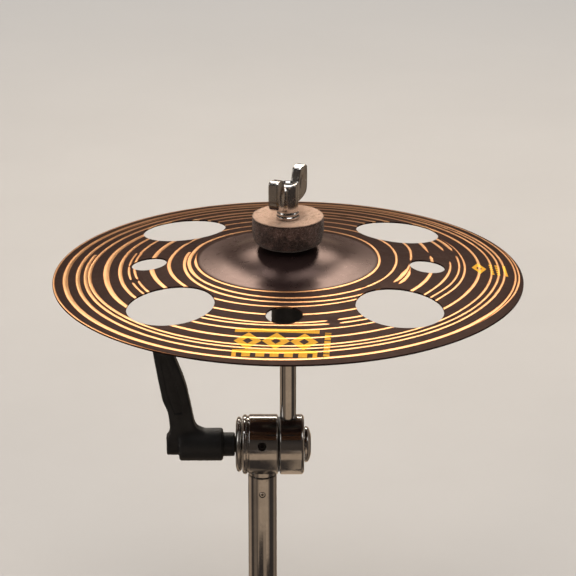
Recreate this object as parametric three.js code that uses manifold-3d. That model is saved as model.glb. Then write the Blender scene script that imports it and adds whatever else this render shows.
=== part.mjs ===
// A small pierced crash cymbal on the tilter and upper tube of its stand.
// Millimetres, +Z up. The origin is on the cymbal rod's axis, level with the
// bottom end of the tube. The tilter's clamp axis runs along X, with the bolt
// head at its +X end and the lever at its -X end.
import * as THREE from 'three';
import { mergeVertices } from 'three/addons/utils/BufferGeometryUtils.js';
import Module from 'manifold-3d';

const wasm = await Module();
wasm.setup();

// --------------------------------------------------------- shared dimensions
// Ranges such as x: [from, to] run from the lower to the higher coordinate.
const GAP = 0.1;            // between stacked parts
const FIT = 0.35;           // radial clearance around bolts, screws and spigots
const M6_RADIUS = 3;        // threads are plain cylinders
const APEX_Z = 278;         // top of the bell, at the centre hole
const AXIS_Z = 160.3;       // clamp axis
const DRUM_RADIUS = 16.7;   // both tilter drums

const TUBE = { x: -14.2, radius: 7.95, wall: 1.4, topZ: 142.5 };
const PIN = { radius: 1.5, holeRadius: 1.8, halfLength: 7.75, z: 133 };

const ROD = {
  radius: 4.5,
  spigotRadius: 3.5,
  spigotZ: AXIS_Z + 5.8,
  footZ: AXIS_Z + 15.6,
  shoulderZ: 256,
  topZ: 310.4,
};

const BASE_X = [-25.2, -5.5];   // tube-side drum, bead included
const HEAD_X = [-4.5, 8.9];     // rod-side drum

const SET_SCREW = { radius: 2.0, socketFlats: 2, socketCut: 3 };
const ROD_SCREW = { x: [3.9, 8.5], socketX: 6.6, z: AXIS_Z + 12.9 };
// lies in the plane of the tube's axis and points to -Y, tilted up by this many
// degrees; `reach` and `socket` are distances from the clamp axis
const STOP_SCREW = { x: TUBE.x, up: 18.5, reach: [4.4, 15.8], socket: 13.6 };

const BOLT = {
  shoulderRadius: 4,
  shoulderX: -24.5,
  endX: -39.8,
  headRadius: 10,
  headX: [9.1, 12.7],
};
const BOLT_BORE_RADIUS = BOLT.shoulderRadius + FIT;

// ----------------------------------------------------------------- materials
const CHROME = { color: 0xb9b4ae, roughness: 0.12, metalness: 1.0 };
const STEEL = { color: 0x8d8a86, roughness: 0.35, metalness: 1.0 };
const DARK_STEEL = { color: 0x2a2826, roughness: 0.4, metalness: 1.0 };
const SPRING_STEEL = { color: 0xa5a29c, roughness: 0.3, metalness: 1.0 };
const BROWN_METAL = { color: 0x3a2418, roughness: 0.28, metalness: 1.0 };
const NYLON = { color: 0x101010, roughness: 0.55, metalness: 0.0 };
const FRICTION_PAD = { color: 0x1a1614, roughness: 0.8, metalness: 0.0 };
const UPPER_FELT_WOOL = { color: 0x9b8468, roughness: 0.95, metalness: 0.0 };
const LOWER_FELT_WOOL = { color: 0x8d785e, roughness: 0.95, metalness: 0.0 };

// ------------------------------------------------------------------- helpers
const rad = THREE.MathUtils.degToRad;

// welds a closed geometry by position and turns it into a manifold solid
function toSolid(geometry) {
  const bare = new THREE.BufferGeometry();
  bare.setAttribute('position', geometry.attributes.position);
  bare.setIndex(geometry.index);
  const welded = mergeVertices(bare, 1e-4);
  const { position } = welded.attributes;
  const index = welded.index.array;
  const vertex = (i) => new THREE.Vector3().fromBufferAttribute(position, i);

  const triangles = [];
  let volume = 0;
  for (let i = 0; i < index.length; i += 3) {
    const corners = [index[i], index[i + 1], index[i + 2]];
    if (new Set(corners).size < 3) continue;
    triangles.push(corners);
    const [first, second, third] = corners.map(vertex);
    volume += first.dot(second.cross(third));
  }
  // a negative volume means the faces point inwards
  const outward = volume < 0
    ? triangles.map(([first, second, third]) => [first, third, second])
    : triangles;
  return new wasm.Manifold(new wasm.Mesh({
    numProp: 3,
    vertProperties: new Float32Array(position.array),
    triVerts: new Uint32Array(outward.flat()),
  }));
}

// flat-shaded geometry of a solid
function toGeometry(solid) {
  const { vertProperties, triVerts } = solid.getMesh();
  const indexed = new THREE.BufferGeometry();
  indexed.setAttribute('position', new THREE.BufferAttribute(new Float32Array(vertProperties), 3));
  indexed.setIndex(new THREE.BufferAttribute(new Uint32Array(triVerts), 1));
  const flat = indexed.toNonIndexed();
  flat.computeVertexNormals();
  return flat;
}

const object = new THREE.Group();
function piece(name, solid, finish) {
  const mesh = new THREE.Mesh(toGeometry(solid), new THREE.MeshStandardMaterial(finish));
  mesh.name = name;
  object.add(mesh);
}

// turns [radius, height] points about Z; a profile that doesn't start and end
// on the axis is closed into a ring
function turned(profile, segments) {
  const points = profile.map(([radius, height]) => new THREE.Vector2(radius, height));
  const onAxis = points[0].x === 0 && points.at(-1).x === 0;
  if (!onAxis) points.push(points[0].clone());
  return new THREE.LatheGeometry(points, segments).rotateX(Math.PI / 2);
}

// from [radius, z] points, about the rod's axis
const turnedZ = (profile, segments) => toSolid(turned(profile, segments));

// from [radius, x] points, about the clamp axis
const turnedX = (profile, segments) =>
  toSolid(turned(profile, segments).rotateY(Math.PI / 2).translate(0, 0, AXIS_Z));

const cylinderZ = (radius, [from, to], segments) =>
  new THREE.CylinderGeometry(radius, radius, to - from, segments)
    .rotateX(Math.PI / 2)
    .translate(0, 0, (from + to) / 2);

const rodZ = (radius, range, { x = 0, y = 0, segments = 24 } = {}) =>
  toSolid(cylinderZ(radius, range, segments).translate(x, y, 0));

const rodX = (radius, [from, to], { z = AXIS_Z, segments = 24 } = {}) =>
  toSolid(new THREE.CylinderGeometry(radius, radius, to - from, segments)
    .rotateZ(Math.PI / 2)
    .translate((from + to) / 2, 0, z));

// across the tube's axis at the height of the pin
const pinRod = (radius, halfLength) =>
  toSolid(new THREE.CylinderGeometry(radius, radius, 2 * halfLength, 16)
    .translate(TUBE.x, 0, PIN.z));

// moves a geometry from the Z axis onto the line of the stop screw
const ontoStopScrewLine = (geometry) =>
  toSolid(geometry.rotateX(rad(90 - STOP_SCREW.up)).translate(STOP_SCREW.x, 0, AXIS_Z));

const stopScrewRod = (radius, reach) => ontoStopScrewLine(cylinderZ(radius, reach, 16));

// a polygon with one corner per radius, at equal angles
function polygon(radii, startDegrees = 0) {
  const shape = new THREE.Shape(radii.map((radius, i) => {
    const angle = rad(startDegrees) + (i / radii.length) * 2 * Math.PI;
    return new THREE.Vector2(radius * Math.cos(angle), radius * Math.sin(angle));
  }));
  shape.closePath();
  return shape;
}

// the cutter for a set screw's socket, from z = 0 up
function hexSocket() {
  const cornerRadius = SET_SCREW.socketFlats / 2 / Math.cos(rad(30));
  return new THREE.ExtrudeGeometry(polygon(Array(6).fill(cornerRadius), 30), {
    depth: SET_SCREW.socketCut,
    bevelEnabled: false,
  });
}

// a plate in the XZ plane, centred on y = 0, from [x, z] points
function bevelledPlate(outline, thickness, bevel) {
  const depth = thickness - 2 * bevel;
  return new THREE.ExtrudeGeometry(
    new THREE.Shape(outline.map(([x, z]) => new THREE.Vector2(x, z))),
    {
      depth,
      bevelEnabled: true,
      bevelSize: bevel,
      bevelOffset: -bevel,
      bevelThickness: bevel,
      bevelSegments: 1,
      curveSegments: 1,
    },
  ).translate(0, 0, -depth / 2).rotateX(Math.PI / 2);
}

// -------------------------------------------------------------------- cymbal
const CYMBAL = { radius: 127, boreRadius: 6.2, thickness: 0.95 };
const DOME = { curveRadius: 80, radius: 30 };   // the bell, out to its fillet
const BOW = { radius: 42, slopeIn: 0.113, slopeOut: 0.133 };   // from the fillet to the rim
const STATIONS = [CYMBAL.boreRadius, 14, 22, DOME.radius, 36, BOW.radius, 84, CYMBAL.radius];
const HOLE_RINGS = [
  { count: 4, radius: 23, pitchRadius: 84.3, start: 45, segments: 36 },
  { count: 4, radius: 9.5, pitchRadius: 75, start: 0, segments: 20 },
];
const PATTERN_TURN = -1.5;   // degrees, both rings of holes together

// height of the top surface at a radius
function cymbalTop(radius) {
  const dome = (at) => (at * at - CYMBAL.boreRadius ** 2) / (2 * DOME.curveRadius);
  // drop over a distance in which the slope goes evenly from one value to another
  const ease = (distance, from, to, span) =>
    from * distance + ((to - from) * distance * distance) / (2 * span);
  const filletWidth = BOW.radius - DOME.radius;
  const fillet = (distance) =>
    ease(distance, DOME.radius / DOME.curveRadius, BOW.slopeIn, filletWidth);

  if (radius <= DOME.radius) return APEX_Z - dome(radius);
  const domeFootZ = APEX_Z - dome(DOME.radius);
  if (radius <= BOW.radius) return domeFootZ - fillet(radius - DOME.radius);
  const bowSpan = CYMBAL.radius - BOW.radius;
  return domeFootZ - fillet(filletWidth)
    - ease(radius - BOW.radius, BOW.slopeIn, BOW.slopeOut, bowSpan);
}

function cymbal() {
  const top = STATIONS.map((radius) => [radius, cymbalTop(radius)]);
  const underside = top.map(([radius, z]) => [radius, z - CYMBAL.thickness]).reverse();
  let plate = turnedZ([...top, ...underside], 64);
  for (const { count, radius, pitchRadius, start, segments } of HOLE_RINGS) {
    for (let i = 0; i < count; i++) {
      const angle = rad(start + (360 / count) * i + PATTERN_TURN);
      plate = plate.subtract(rodZ(radius, [APEX_Z - 60, APEX_Z + 20], {
        x: pitchRadius * Math.cos(angle),
        y: pitchRadius * Math.sin(angle),
        segments,
      }));
    }
  }
  piece('cymbal', plate, BROWN_METAL);
}

// ------------------------------------- parts stacked on the rod, and the rod
const SEAT = { radius: 9, flangeRadius: 13, z: [228, 260] };
const CUP = { radius: 15, z: [SEAT.z[1] + GAP, 262.6] };
const LOWER_FELT = { radius: 14, z: 262.0 };
const SLEEVE = { radius: 5.2, boreRadius: 3.4, z: [SEAT.z[1] + GAP, 291.5] };
const UPPER_FELT = { radius: 19, z: [APEX_Z + GAP, 294.4] };
const FELT_BORE_RADIUS = 5.6;
const NUT_WASHER = { radius: 6.3, z: [292.8, 294.8] };

function upperFelt() {
  const { radius, z: [bottom, top] } = UPPER_FELT;
  const recessZ = NUT_WASHER.z[0] - GAP;   // the nut's washer sinks into the top
  piece('upper_felt', turnedZ([
    [FELT_BORE_RADIUS, bottom], [16.2, bottom], [18.2, bottom + 1.2], [radius, bottom + 3],
    [19.3, bottom + 7], [19.3, bottom + 11], [radius, top - 0.9], [18.4, top - 0.1],
    [14, top], [10.5, top - 0.4], [7.4, recessZ], [FELT_BORE_RADIUS, recessZ],
  ], 32), UPPER_FELT_WOOL);
}

function lowerFelt() {
  const { radius, z: bottom } = LOWER_FELT;
  // The top follows the underside of the bell. Most heights are taken a little
  // further out than their points, which lowers the felt.
  const under = (at) => cymbalTop(at) - CYMBAL.thickness - 0.12;
  piece('lower_felt', turnedZ([
    [FELT_BORE_RADIUS, bottom], [13.2, bottom], [radius, bottom + 1.2],
    [radius, under(radius) - 1], [13.2, under(14.5)],
    [10, under(10.4)], [FELT_BORE_RADIUS, under(7)],
  ], 28), LOWER_FELT_WOOL);
}

function cymbalRod() {
  const { radius, spigotRadius, spigotZ, footZ, shoulderZ, topZ } = ROD;
  piece('cymbal_rod', turnedZ([
    [0, spigotZ], [spigotRadius - 0.4, spigotZ],
    [spigotRadius, spigotZ + 0.4], [spigotRadius, footZ],
    [radius, footZ], [radius, shoulderZ - 0.4], [radius - 0.4, shoulderZ],
    [M6_RADIUS, shoulderZ], [M6_RADIUS, topZ - 0.7], [M6_RADIUS - 0.7, topZ], [0, topZ],
  ], 24), CHROME);
}

// nylon seat that caps the rod's shoulder
function seatBush() {
  const { radius, flangeRadius, z: [bottom, top] } = SEAT;
  const lowerBore = ROD.radius + 0.3;
  const upperBore = M6_RADIUS + FIT;
  const stepZ = ROD.shoulderZ + GAP;
  piece('seat_bush', turnedZ([
    [lowerBore, bottom], [radius - 0.8, bottom], [radius, bottom + 0.8], [radius, top - 4.2],
    [flangeRadius - 0.6, top - 3], [flangeRadius, top - 2.4], [flangeRadius, top - 0.5],
    [flangeRadius - 0.5, top], [upperBore, top], [upperBore, stepZ], [lowerBore, stepZ],
  ], 24), NYLON);
}

function cupWasher() {
  const { radius, z: [bottom, top] } = CUP;
  const bore = SLEEVE.radius + 0.3;
  const floorZ = LOWER_FELT.z - GAP;
  piece('cup_washer', turnedZ([
    [bore, bottom], [radius - 1, bottom], [radius, bottom + 0.8], [radius, top],
    [radius - 0.6, top], [radius - 0.7, floorZ - 0.3], [radius - 1.2, floorZ], [bore, floorZ],
  ], 28), CHROME);
}

function postSleeve() {
  const { radius, boreRadius, z: [bottom, top] } = SLEEVE;
  piece('post_sleeve', turnedZ([
    [boreRadius, bottom], [radius, bottom], [radius, top - 0.6],
    [radius - 0.5, top], [boreRadius, top],
  ], 24), NYLON);
}

// ------------------------------------------------------------------ wing nut
const NUT = { radius: 5.6, boreRadius: M6_RADIUS + FIT, z: [NUT_WASHER.z[1] + GAP, 312.4] };
// `turn` is in degrees about Z, from +X to the first wing
const WING = { reach: 19.2, topZ: 318.2, thickness: 5.7, bevel: 0.7, turn: 65.5 };

function nutWasher() {
  const { radius, z: [bottom, top] } = NUT_WASHER;
  const bore = NUT.boreRadius + 0.1;
  piece('nut_washer', turnedZ([
    [bore, bottom], [radius - 0.3, bottom], [radius, bottom + 0.4],
    [radius, top - 0.5], [radius - 0.6, top], [bore, top],
  ], 24), CHROME);
}

function wingNut() {
  const { radius, boreRadius, z: [bottom, top] } = NUT;
  const { reach, topZ, thickness, bevel, turn } = WING;
  let nut = turnedZ([
    [0, bottom], [radius + 0.3, bottom], [radius + 0.4, bottom + 1], [radius, bottom + 2.4],
    [radius, top - 0.8], [radius - 0.8, top], [0, top],
  ], 24);
  // [distance out from the axis, z]
  const outline = [
    [2, bottom + 2.6], [6.5, bottom + 3.6], [13.5, bottom + 6.0], [reach - 1.2, bottom + 7.8],
    [reach - 0.3, bottom + 9.9], [reach, topZ - 2.2], [reach - 0.7, topZ - 0.7],
    [reach - 2.2, topZ], [10.2, topZ - 0.8], [9.2, topZ - 1.9], [8.0, top - 1.5], [2, top - 3],
  ];
  for (const degrees of [turn, turn + 180]) {
    nut = nut.add(toSolid(bevelledPlate(outline, thickness, bevel).rotateZ(rad(degrees))));
  }
  nut = nut.subtract(rodZ(boreRadius, [bottom - 5, top + 10]));
  piece('wing_nut', nut, CHROME);
}

// -------------------------------------------------------------------- tilter
// rod-side drum, bored for the clamp bolt, the rod's spigot and its set screw
function tilterHead() {
  const [inner, outer] = HEAD_X;
  const boreTopZ = AXIS_Z + 20;
  const drum = turnedX([
    [BOLT_BORE_RADIUS, inner], [DRUM_RADIUS - 0.8, inner], [DRUM_RADIUS, inner + 0.7],
    [DRUM_RADIUS, outer - 1.4], [DRUM_RADIUS - 1.4, outer], [BOLT_BORE_RADIUS, outer],
  ], 36)
    .subtract(rodZ(ROD.spigotRadius + FIT, [ROD.spigotZ - 0.3, boreTopZ]))
    .subtract(rodZ(5.2, [ROD.footZ - 0.1, boreTopZ]))
    .subtract(rodX(SET_SCREW.radius + FIT, [2, 12], { z: ROD_SCREW.z, segments: 16 }));
  piece('tilter_head', drum, CHROME);
}

// socket set screw that holds the rod in the drum
function rodSetScrew() {
  const { x, z, socketX } = ROD_SCREW;
  const socket = toSolid(hexSocket().rotateY(Math.PI / 2).translate(socketX, 0, z));
  const screw = rodX(SET_SCREW.radius, x, { z, segments: 16 }).subtract(socket);
  piece('rod_set_screw', screw, STEEL);
}

// between the two drums
function frictionDisc() {
  const from = BASE_X[1] + GAP;
  const to = HEAD_X[0] - GAP;
  const bore = BOLT.shoulderRadius + 0.4;
  const rim = DRUM_RADIUS - 1.4;
  piece('friction_disc', turnedX([
    [bore, from], [rim, from], [rim, to], [bore, to],
  ], 32), FRICTION_PAD);
}

// tube-side drum: bead at its outer end, collar and spigot for the tube below
function tilterBase() {
  const [outer, inner] = BASE_X;
  const stemTopZ = AXIS_Z - 10;
  const base = turnedX([
    [BOLT_BORE_RADIUS, outer], [DRUM_RADIUS - 1.1, outer], [DRUM_RADIUS - 0.1, outer + 0.8],
    [DRUM_RADIUS - 0.1, -23.1], [DRUM_RADIUS - 0.9, -22.4], [DRUM_RADIUS - 0.9, -22.0],
    [DRUM_RADIUS, -21.3], [DRUM_RADIUS, inner - 0.7], [DRUM_RADIUS - 0.8, inner],
    [BOLT_BORE_RADIUS, inner],
  ], 36)
    .add(rodZ(7.7, [TUBE.topZ + 0.3, stemTopZ], { x: TUBE.x }))
    .add(rodZ(6.2, [TUBE.topZ - 19, stemTopZ], { x: TUBE.x }))
    .subtract(rodX(BOLT_BORE_RADIUS, [-30, 0]))
    .subtract(stopScrewRod(SET_SCREW.radius + FIT, [1, 20]))
    .subtract(pinRod(PIN.holeRadius, 10));
  piece('tilter_base', base, CHROME);
}

// socket set screw that stops the clamp bolt from turning
function boltSetScrew() {
  const socket = ontoStopScrewLine(hexSocket().translate(0, 0, STOP_SCREW.socket));
  const screw = stopScrewRod(SET_SCREW.radius, STOP_SCREW.reach).subtract(socket);
  piece('bolt_set_screw', screw, DARK_STEEL);
}

function clampBolt() {
  const { shoulderRadius, shoulderX, endX, headRadius, headX: [under, face] } = BOLT;
  piece('clamp_bolt', turnedX([
    [0, endX], [M6_RADIUS - 0.6, endX], [M6_RADIUS, endX + 0.6], [M6_RADIUS, shoulderX],
    [shoulderRadius, shoulderX], [shoulderRadius, under], [headRadius - 0.3, under],
    [headRadius, under + 0.8], [headRadius - 0.8, under + 2.1], [6.4, face - 0.3],
    [5.4, face], [2.2, face], [2.2, face - 1.2], [0, face - 1.2],
  ], 24), CHROME);
}

function pressureWasher() {
  const [outer, inner] = [-28.8, -25.5];
  const bore = M6_RADIUS + 0.4;
  piece('pressure_washer', turnedX([
    [bore, outer], [12.8, outer], [14.8, outer + 0.7], [15.5, outer + 1.65],
    [14.8, inner - 0.7], [14, inner], [bore, inner],
  ], 32), CHROME);
}

// ---------------------------------------------------------------- stand tube
function standTube() {
  const { x, radius, wall, topZ } = TUBE;
  const bore = radius - wall;
  const profile = [[bore, 0], [radius, 0], [radius, topZ], [bore, topZ]];
  const tube = toSolid(turned(profile, 32).translate(x, 0, 0));
  piece('stand_tube', tube.subtract(pinRod(PIN.holeRadius, 10)), CHROME);
}

function tubePin() {
  piece('tube_pin', pinRod(PIN.radius, PIN.halfLength), STEEL);
}

// --------------------------------------------------------------- clamp lever
const TEETH = 12;
const LEVER = {
  boss: { radius: 5.9, endX: -67.0 },
  hub: { radius: 9.1, x: [-60.1, -35.9] },
  neck: { radius: 6.6, endX: -29.4 },
};
const LEVER_SCREW_RADIUS = 2.0;   // M4
const SPRING = { turns: 5.5, radius: 3.5, wireRadius: 0.45, x: [-59.1, -49.9] };

// the arm's outline in the XZ plane: [x, height above the clamp axis]
const ARM_OUTLINE = [
  [-64.8, 2.5], [-65.0, 10.8], [-65.8, 19.2], [-67.0, 23.4], [-68.8, 27.8], [-69.9, 33.4],
  [-71.1, 40.0], [-72.2, 46.6], [-73.2, 52.8], [-74.0, 58.6], [-73.4, 60.7], [-71.2, 61.6],
  [-66.6, 60.4], [-64.4, 59.0], [-63.1, 56.6], [-61.2, 50.8], [-59.6, 46.6], [-57.3, 40.0],
  [-55.6, 34.3], [-54.7, 29.5], [-53.6, 24.2], [-52.7, 19.2], [-51.7, 14.1], [-50.2, 10.8],
  [-47.6, 8.6], [-46.0, 2.5],
];
const ARM = { thickness: 11.5, bevel: 1.3 };

// a toothed prism along the clamp axis
function toothedRing(tipRadius, rootRadius, [from, to]) {
  const radii = Array.from({ length: TEETH * 2 }, (_, i) => (i % 2 ? rootRadius : tipRadius));
  return toSolid(
    new THREE.ExtrudeGeometry(polygon(radii), { depth: to - from, bevelEnabled: false })
      .rotateY(Math.PI / 2)
      .translate(from, 0, AXIS_Z),
  );
}

// threaded insert: bore for the clamp bolt, bore for the lever screw, ring of teeth
function leverInsert() {
  const insert = turnedX([
    [0, -47.2], [4.3, -47.2], [4.6, -46.9], [4.6, -41.4],
    [4.8, -41.2], [4.8, -29.3], [4.5, -29.0], [0, -29.0],
  ], 24)
    .add(toothedRing(6.2, 5.3, [-45.3, -41.3]))
    .subtract(rodX(M6_RADIUS + FIT, [-40.5, -28], { segments: 20 }))
    .subtract(rodX(LEVER_SCREW_RADIUS + FIT, [-48, -40], { segments: 16 }));
  piece('lever_insert', insert, STEEL);
}

// its head, with a recess in the end face, is towards -X
function leverScrew() {
  piece('lever_screw', turnedX([
    [0, -62.9], [1.4, -62.9], [1.4, -62.0], [2.2, -62.0], [2.2, -62.9], [3.6, -62.9],
    [4.3, -62.2], [4.3, -59.9], [LEVER_SCREW_RADIUS, -59.9], [LEVER_SCREW_RADIUS, -41.4],
    [1.6, -41.0], [0, -41.0],
  ], 20), STEEL);
}

class Coil extends THREE.Curve {
  getPoint(t, target = new THREE.Vector3()) {
    const { turns, radius, x: [from, to] } = SPRING;
    const angle = 2 * Math.PI * turns * t;
    return target.set(
      from + (to - from) * t,
      radius * Math.cos(angle),
      AXIS_Z + radius * Math.sin(angle),
    );
  }
}

// compression spring between the handle's inner web and the screw head
function leverSpring() {
  const wire = polygon(Array(6).fill(SPRING.wireRadius));
  piece('lever_spring', toSolid(new THREE.ExtrudeGeometry(wire, {
    steps: 60,
    extrudePath: new Coil(),
    bevelEnabled: false,
  })), SPRING_STEEL);
}

function leverHandle() {
  const { boss, hub, neck } = LEVER;
  const [hubOuter, hubInner] = hub.x;
  const body = turnedX([
    [0, boss.endX], [boss.radius - 0.4, boss.endX], [boss.radius, boss.endX + 0.5],
    [boss.radius, hubOuter], [hub.radius - 1.2, hubOuter], [hub.radius, hubOuter + 1.2],
    [hub.radius, hubInner - 1.0], [hub.radius - 1.0, hubInner], [neck.radius, hubInner],
    [neck.radius, neck.endX - 0.4], [neck.radius - 0.4, neck.endX], [0, neck.endX],
  ], 28);
  const arm = toSolid(bevelledPlate(ARM_OUTLINE, ARM.thickness, ARM.bevel)
    .translate(0, 0, AXIS_Z));
  // stepped through bore, from the insert's side to the cap's side
  const cutters = [
    rodX(5.15, [-38, -28]),
    rodX(6.6, [-41.2, -36.7]),
    toothedRing(6.6, 5.7, [-45.6, -41.1]),
    rodX(5.0, [-47.5, -45.4], { segments: 20 }),
    rodX(2.4, [-50, -47], { segments: 16 }),
    rodX(4.75, [-70, -49.0]),
  ];
  const handle = cutters.reduce((solid, cutter) => solid.subtract(cutter), body.add(arm));
  piece('lever_handle', handle, NYLON);
}

// closes the outer end of the handle's bore
function leverCap() {
  piece('lever_cap', turnedX([
    [0, -66.9], [3.9, -66.9], [4.4, -66.4], [4.4, -65.0], [0, -65.0],
  ], 28), NYLON);
}

// ------------------------------------------------------------------ assembly
cymbal();
upperFelt();
lowerFelt();
cymbalRod();
seatBush();
cupWasher();
postSleeve();
nutWasher();
wingNut();
tilterHead();
rodSetScrew();
frictionDisc();
tilterBase();
boltSetScrew();
clampBolt();
pressureWasher();
standTube();
tubePin();
leverInsert();
leverScrew();
leverSpring();
leverHandle();
leverCap();

export default object;
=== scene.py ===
"""A holed, lathed cymbal on a tilter: felts, wing nut, clamp drums, lever and stand tube.

Z is up. The cymbal's axis is the Z axis, through the origin. The clamp axis runs along X at
height AXIS, with the lever at its -X end. -Y is the front, where the camera stands. Pieces are
drawn in millimetres and turned into metres as their meshes are made.
"""
import math
import bmesh
import bpy
import numpy as np
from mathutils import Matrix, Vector


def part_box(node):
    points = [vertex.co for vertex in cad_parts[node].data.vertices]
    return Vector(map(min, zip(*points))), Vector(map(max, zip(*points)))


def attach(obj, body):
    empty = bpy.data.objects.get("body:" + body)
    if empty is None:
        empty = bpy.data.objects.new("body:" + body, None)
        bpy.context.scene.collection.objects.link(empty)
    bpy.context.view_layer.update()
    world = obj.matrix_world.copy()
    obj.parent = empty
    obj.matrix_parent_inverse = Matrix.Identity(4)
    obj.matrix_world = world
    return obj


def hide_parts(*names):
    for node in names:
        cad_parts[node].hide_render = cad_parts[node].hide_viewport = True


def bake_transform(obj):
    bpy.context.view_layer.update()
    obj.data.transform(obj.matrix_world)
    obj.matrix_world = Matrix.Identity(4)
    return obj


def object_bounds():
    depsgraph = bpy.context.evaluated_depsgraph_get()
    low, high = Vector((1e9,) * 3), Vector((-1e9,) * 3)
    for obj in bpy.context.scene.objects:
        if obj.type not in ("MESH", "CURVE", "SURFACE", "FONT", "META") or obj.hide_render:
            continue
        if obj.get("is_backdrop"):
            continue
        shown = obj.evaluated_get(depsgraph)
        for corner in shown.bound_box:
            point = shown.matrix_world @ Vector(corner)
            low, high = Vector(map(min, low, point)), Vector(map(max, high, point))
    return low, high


try:  # the OpenVDB module's name depends on the build
    import openvdb as vdb
except ImportError:
    import pyopenvdb as vdb

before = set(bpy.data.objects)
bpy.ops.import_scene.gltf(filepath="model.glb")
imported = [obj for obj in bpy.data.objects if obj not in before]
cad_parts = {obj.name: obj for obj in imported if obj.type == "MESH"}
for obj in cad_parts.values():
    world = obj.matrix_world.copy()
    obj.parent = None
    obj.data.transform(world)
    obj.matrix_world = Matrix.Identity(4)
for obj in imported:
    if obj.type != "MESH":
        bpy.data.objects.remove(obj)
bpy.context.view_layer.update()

MM = 0.001
RNG = np.random.default_rng(7)
scene = bpy.context.scene
scene.view_settings.view_transform = "Standard"
scene.view_settings.look = "None"

# ------------------------------------------------------------ places, from the CAD
CAD = {piece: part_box(piece) for piece in (
    "cymbal", "tilter_head", "tilter_base", "cymbal_rod", "stand_tube", "nut_washer", "wing_nut",
    "upper_felt", "lower_felt", "cup_washer", "post_sleeve", "seat_bush", "friction_disc",
    "pressure_washer", "clamp_bolt", "tube_pin")}


def span(piece, axis="z"):
    """lowest and highest place of a CAD piece along an axis, in millimetres"""
    return [float(corner["xyz".index(axis)] / MM) for corner in CAD[piece]]


def middle(piece, axis="z"):
    low, high = span(piece, axis)
    return (low + high) / 2


def half_size(piece, axis="z"):
    low, high = span(piece, axis)
    return (high - low) / 2


CYMBAL_R = span("cymbal", "x")[1]
APEX = span("cymbal")[1]
AXIS = middle("tilter_head")
DRUM_R = half_size("tilter_head")
TUBE_X = middle("stand_tube", "x")
TUBE_R = half_size("stand_tube", "x")
TUBE_TOP = span("stand_tube")[1]
PIN_Z = middle("tube_pin")
NUT_FOOT, WING_TOP = span("wing_nut")
BARREL_TOP = 312.4


# ================================================================== mesh helpers
def new_mesh(name, points, faces, angle=None):
    """points in millimetres; faces is a list of face lists or index arrays"""
    polygons = []
    for group in faces:
        polygons += group.tolist() if isinstance(group, np.ndarray) else list(group)
    mesh = bpy.data.meshes.new(name)
    mesh.from_pydata((np.asarray(points, float) * MM).tolist(), [], polygons)
    mesh.validate(clean_customdata=False)
    mesh.update()
    made = bpy.data.objects.new(name, mesh)
    scene.collection.objects.link(made)
    face_outward(mesh)
    mesh.shade_smooth()
    if angle:
        mesh.set_sharp_from_angle(angle=math.radians(angle))
    return made


def face_outward(mesh):
    work = bmesh.new()
    work.from_mesh(mesh)
    bmesh.ops.recalc_face_normals(work, faces=work.faces)
    if work.calc_volume(signed=True) < 0:
        bmesh.ops.reverse_faces(work, faces=work.faces)
    work.to_mesh(mesh)
    work.free()


def rounded(profile, radius, steps, closed=True):
    """rounds a profile's corners; a point may carry its own radius as a third value"""
    points = [np.array(p[:2], float) for p in profile]
    count = len(points)
    out = []
    for i, here in enumerate(points):
        corner = profile[i][2] if len(profile[i]) > 2 else radius
        back, ahead = points[i - 1] - here, points[(i + 1) % count] - here
        back_len, ahead_len = np.linalg.norm(back), np.linalg.norm(ahead)
        is_end = not closed and i in (0, count - 1)
        if is_end or back_len < 1e-6 or ahead_len < 1e-6 or corner <= 0:
            out.append(tuple(here))
            continue
        back, ahead = back / back_len, ahead / ahead_len
        angle = math.acos(float(np.clip(back @ ahead, -1, 1)))
        if angle > math.pi - 0.05:
            out.append(tuple(here))
            continue
        cut = min(corner / math.tan(angle / 2), back_len * 0.45, ahead_len * 0.45)
        first, last = here + back * cut, here + ahead * cut
        for k in range(steps + 1):
            s = k / steps
            out.append(tuple((1 - s) ** 2 * first + 2 * s * (1 - s) * here + s * s * last))
    return out


def lathe(rows, seg, closed):
    """points and faces of rows (radius or array of seg radii, height) turned about Z"""
    turn = np.arange(seg) * 2 * math.pi / seg
    points, rings = [], []
    for radius, height in rows:
        radii = np.broadcast_to(np.asarray(radius, float), (seg,))
        start = len(points)
        if np.all(radii < 1e-6):
            points.append((0.0, 0.0, float(height)))
        else:
            heights = np.full(seg, float(height))
            points += list(zip(radii * np.cos(turn), radii * np.sin(turn), heights))
        rings.append(range(start, len(points)))
    pairs = list(zip(rings[:-1], rings[1:]))
    if closed:
        pairs.append((rings[-1], rings[0]))
    faces = []
    for low, high in pairs:
        for j in range(seg):
            k = (j + 1) % seg
            if len(low) == 1:
                faces.append([low[0], high[j], high[k]])
            elif len(high) == 1:
                faces.append([low[j], high[0], low[k]])
            else:
                faces.append([low[j], high[j], high[k], low[k]])
    return np.array(points), faces


def turned(name, rows, seg=96, corner=None, axis="Z", at_x=0.0, closed=True, angle=40):
    """a lathed piece. Closed rows make a ring; open rows end on the axis.
    corner is the (radius, steps) that rounds the rows; axis X is the clamp axis."""
    if corner:
        rows = rounded(rows, *corner, closed)
    points, faces = lathe(rows, seg, closed)
    if axis == "X":
        points = points[:, [2, 0, 1]]
        points[:, 2] += AXIS
    else:
        points[:, 0] += at_x
    return new_mesh(name, points, [faces], angle=angle)


def bake(piece):
    """applies the piece's modifiers"""
    graph = bpy.context.evaluated_depsgraph_get()
    mesh = bpy.data.meshes.new_from_object(piece.evaluated_get(graph))
    piece.modifiers.clear()
    old = piece.data
    piece.data = mesh
    mesh.name = piece.name
    bpy.data.meshes.remove(old)


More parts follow.
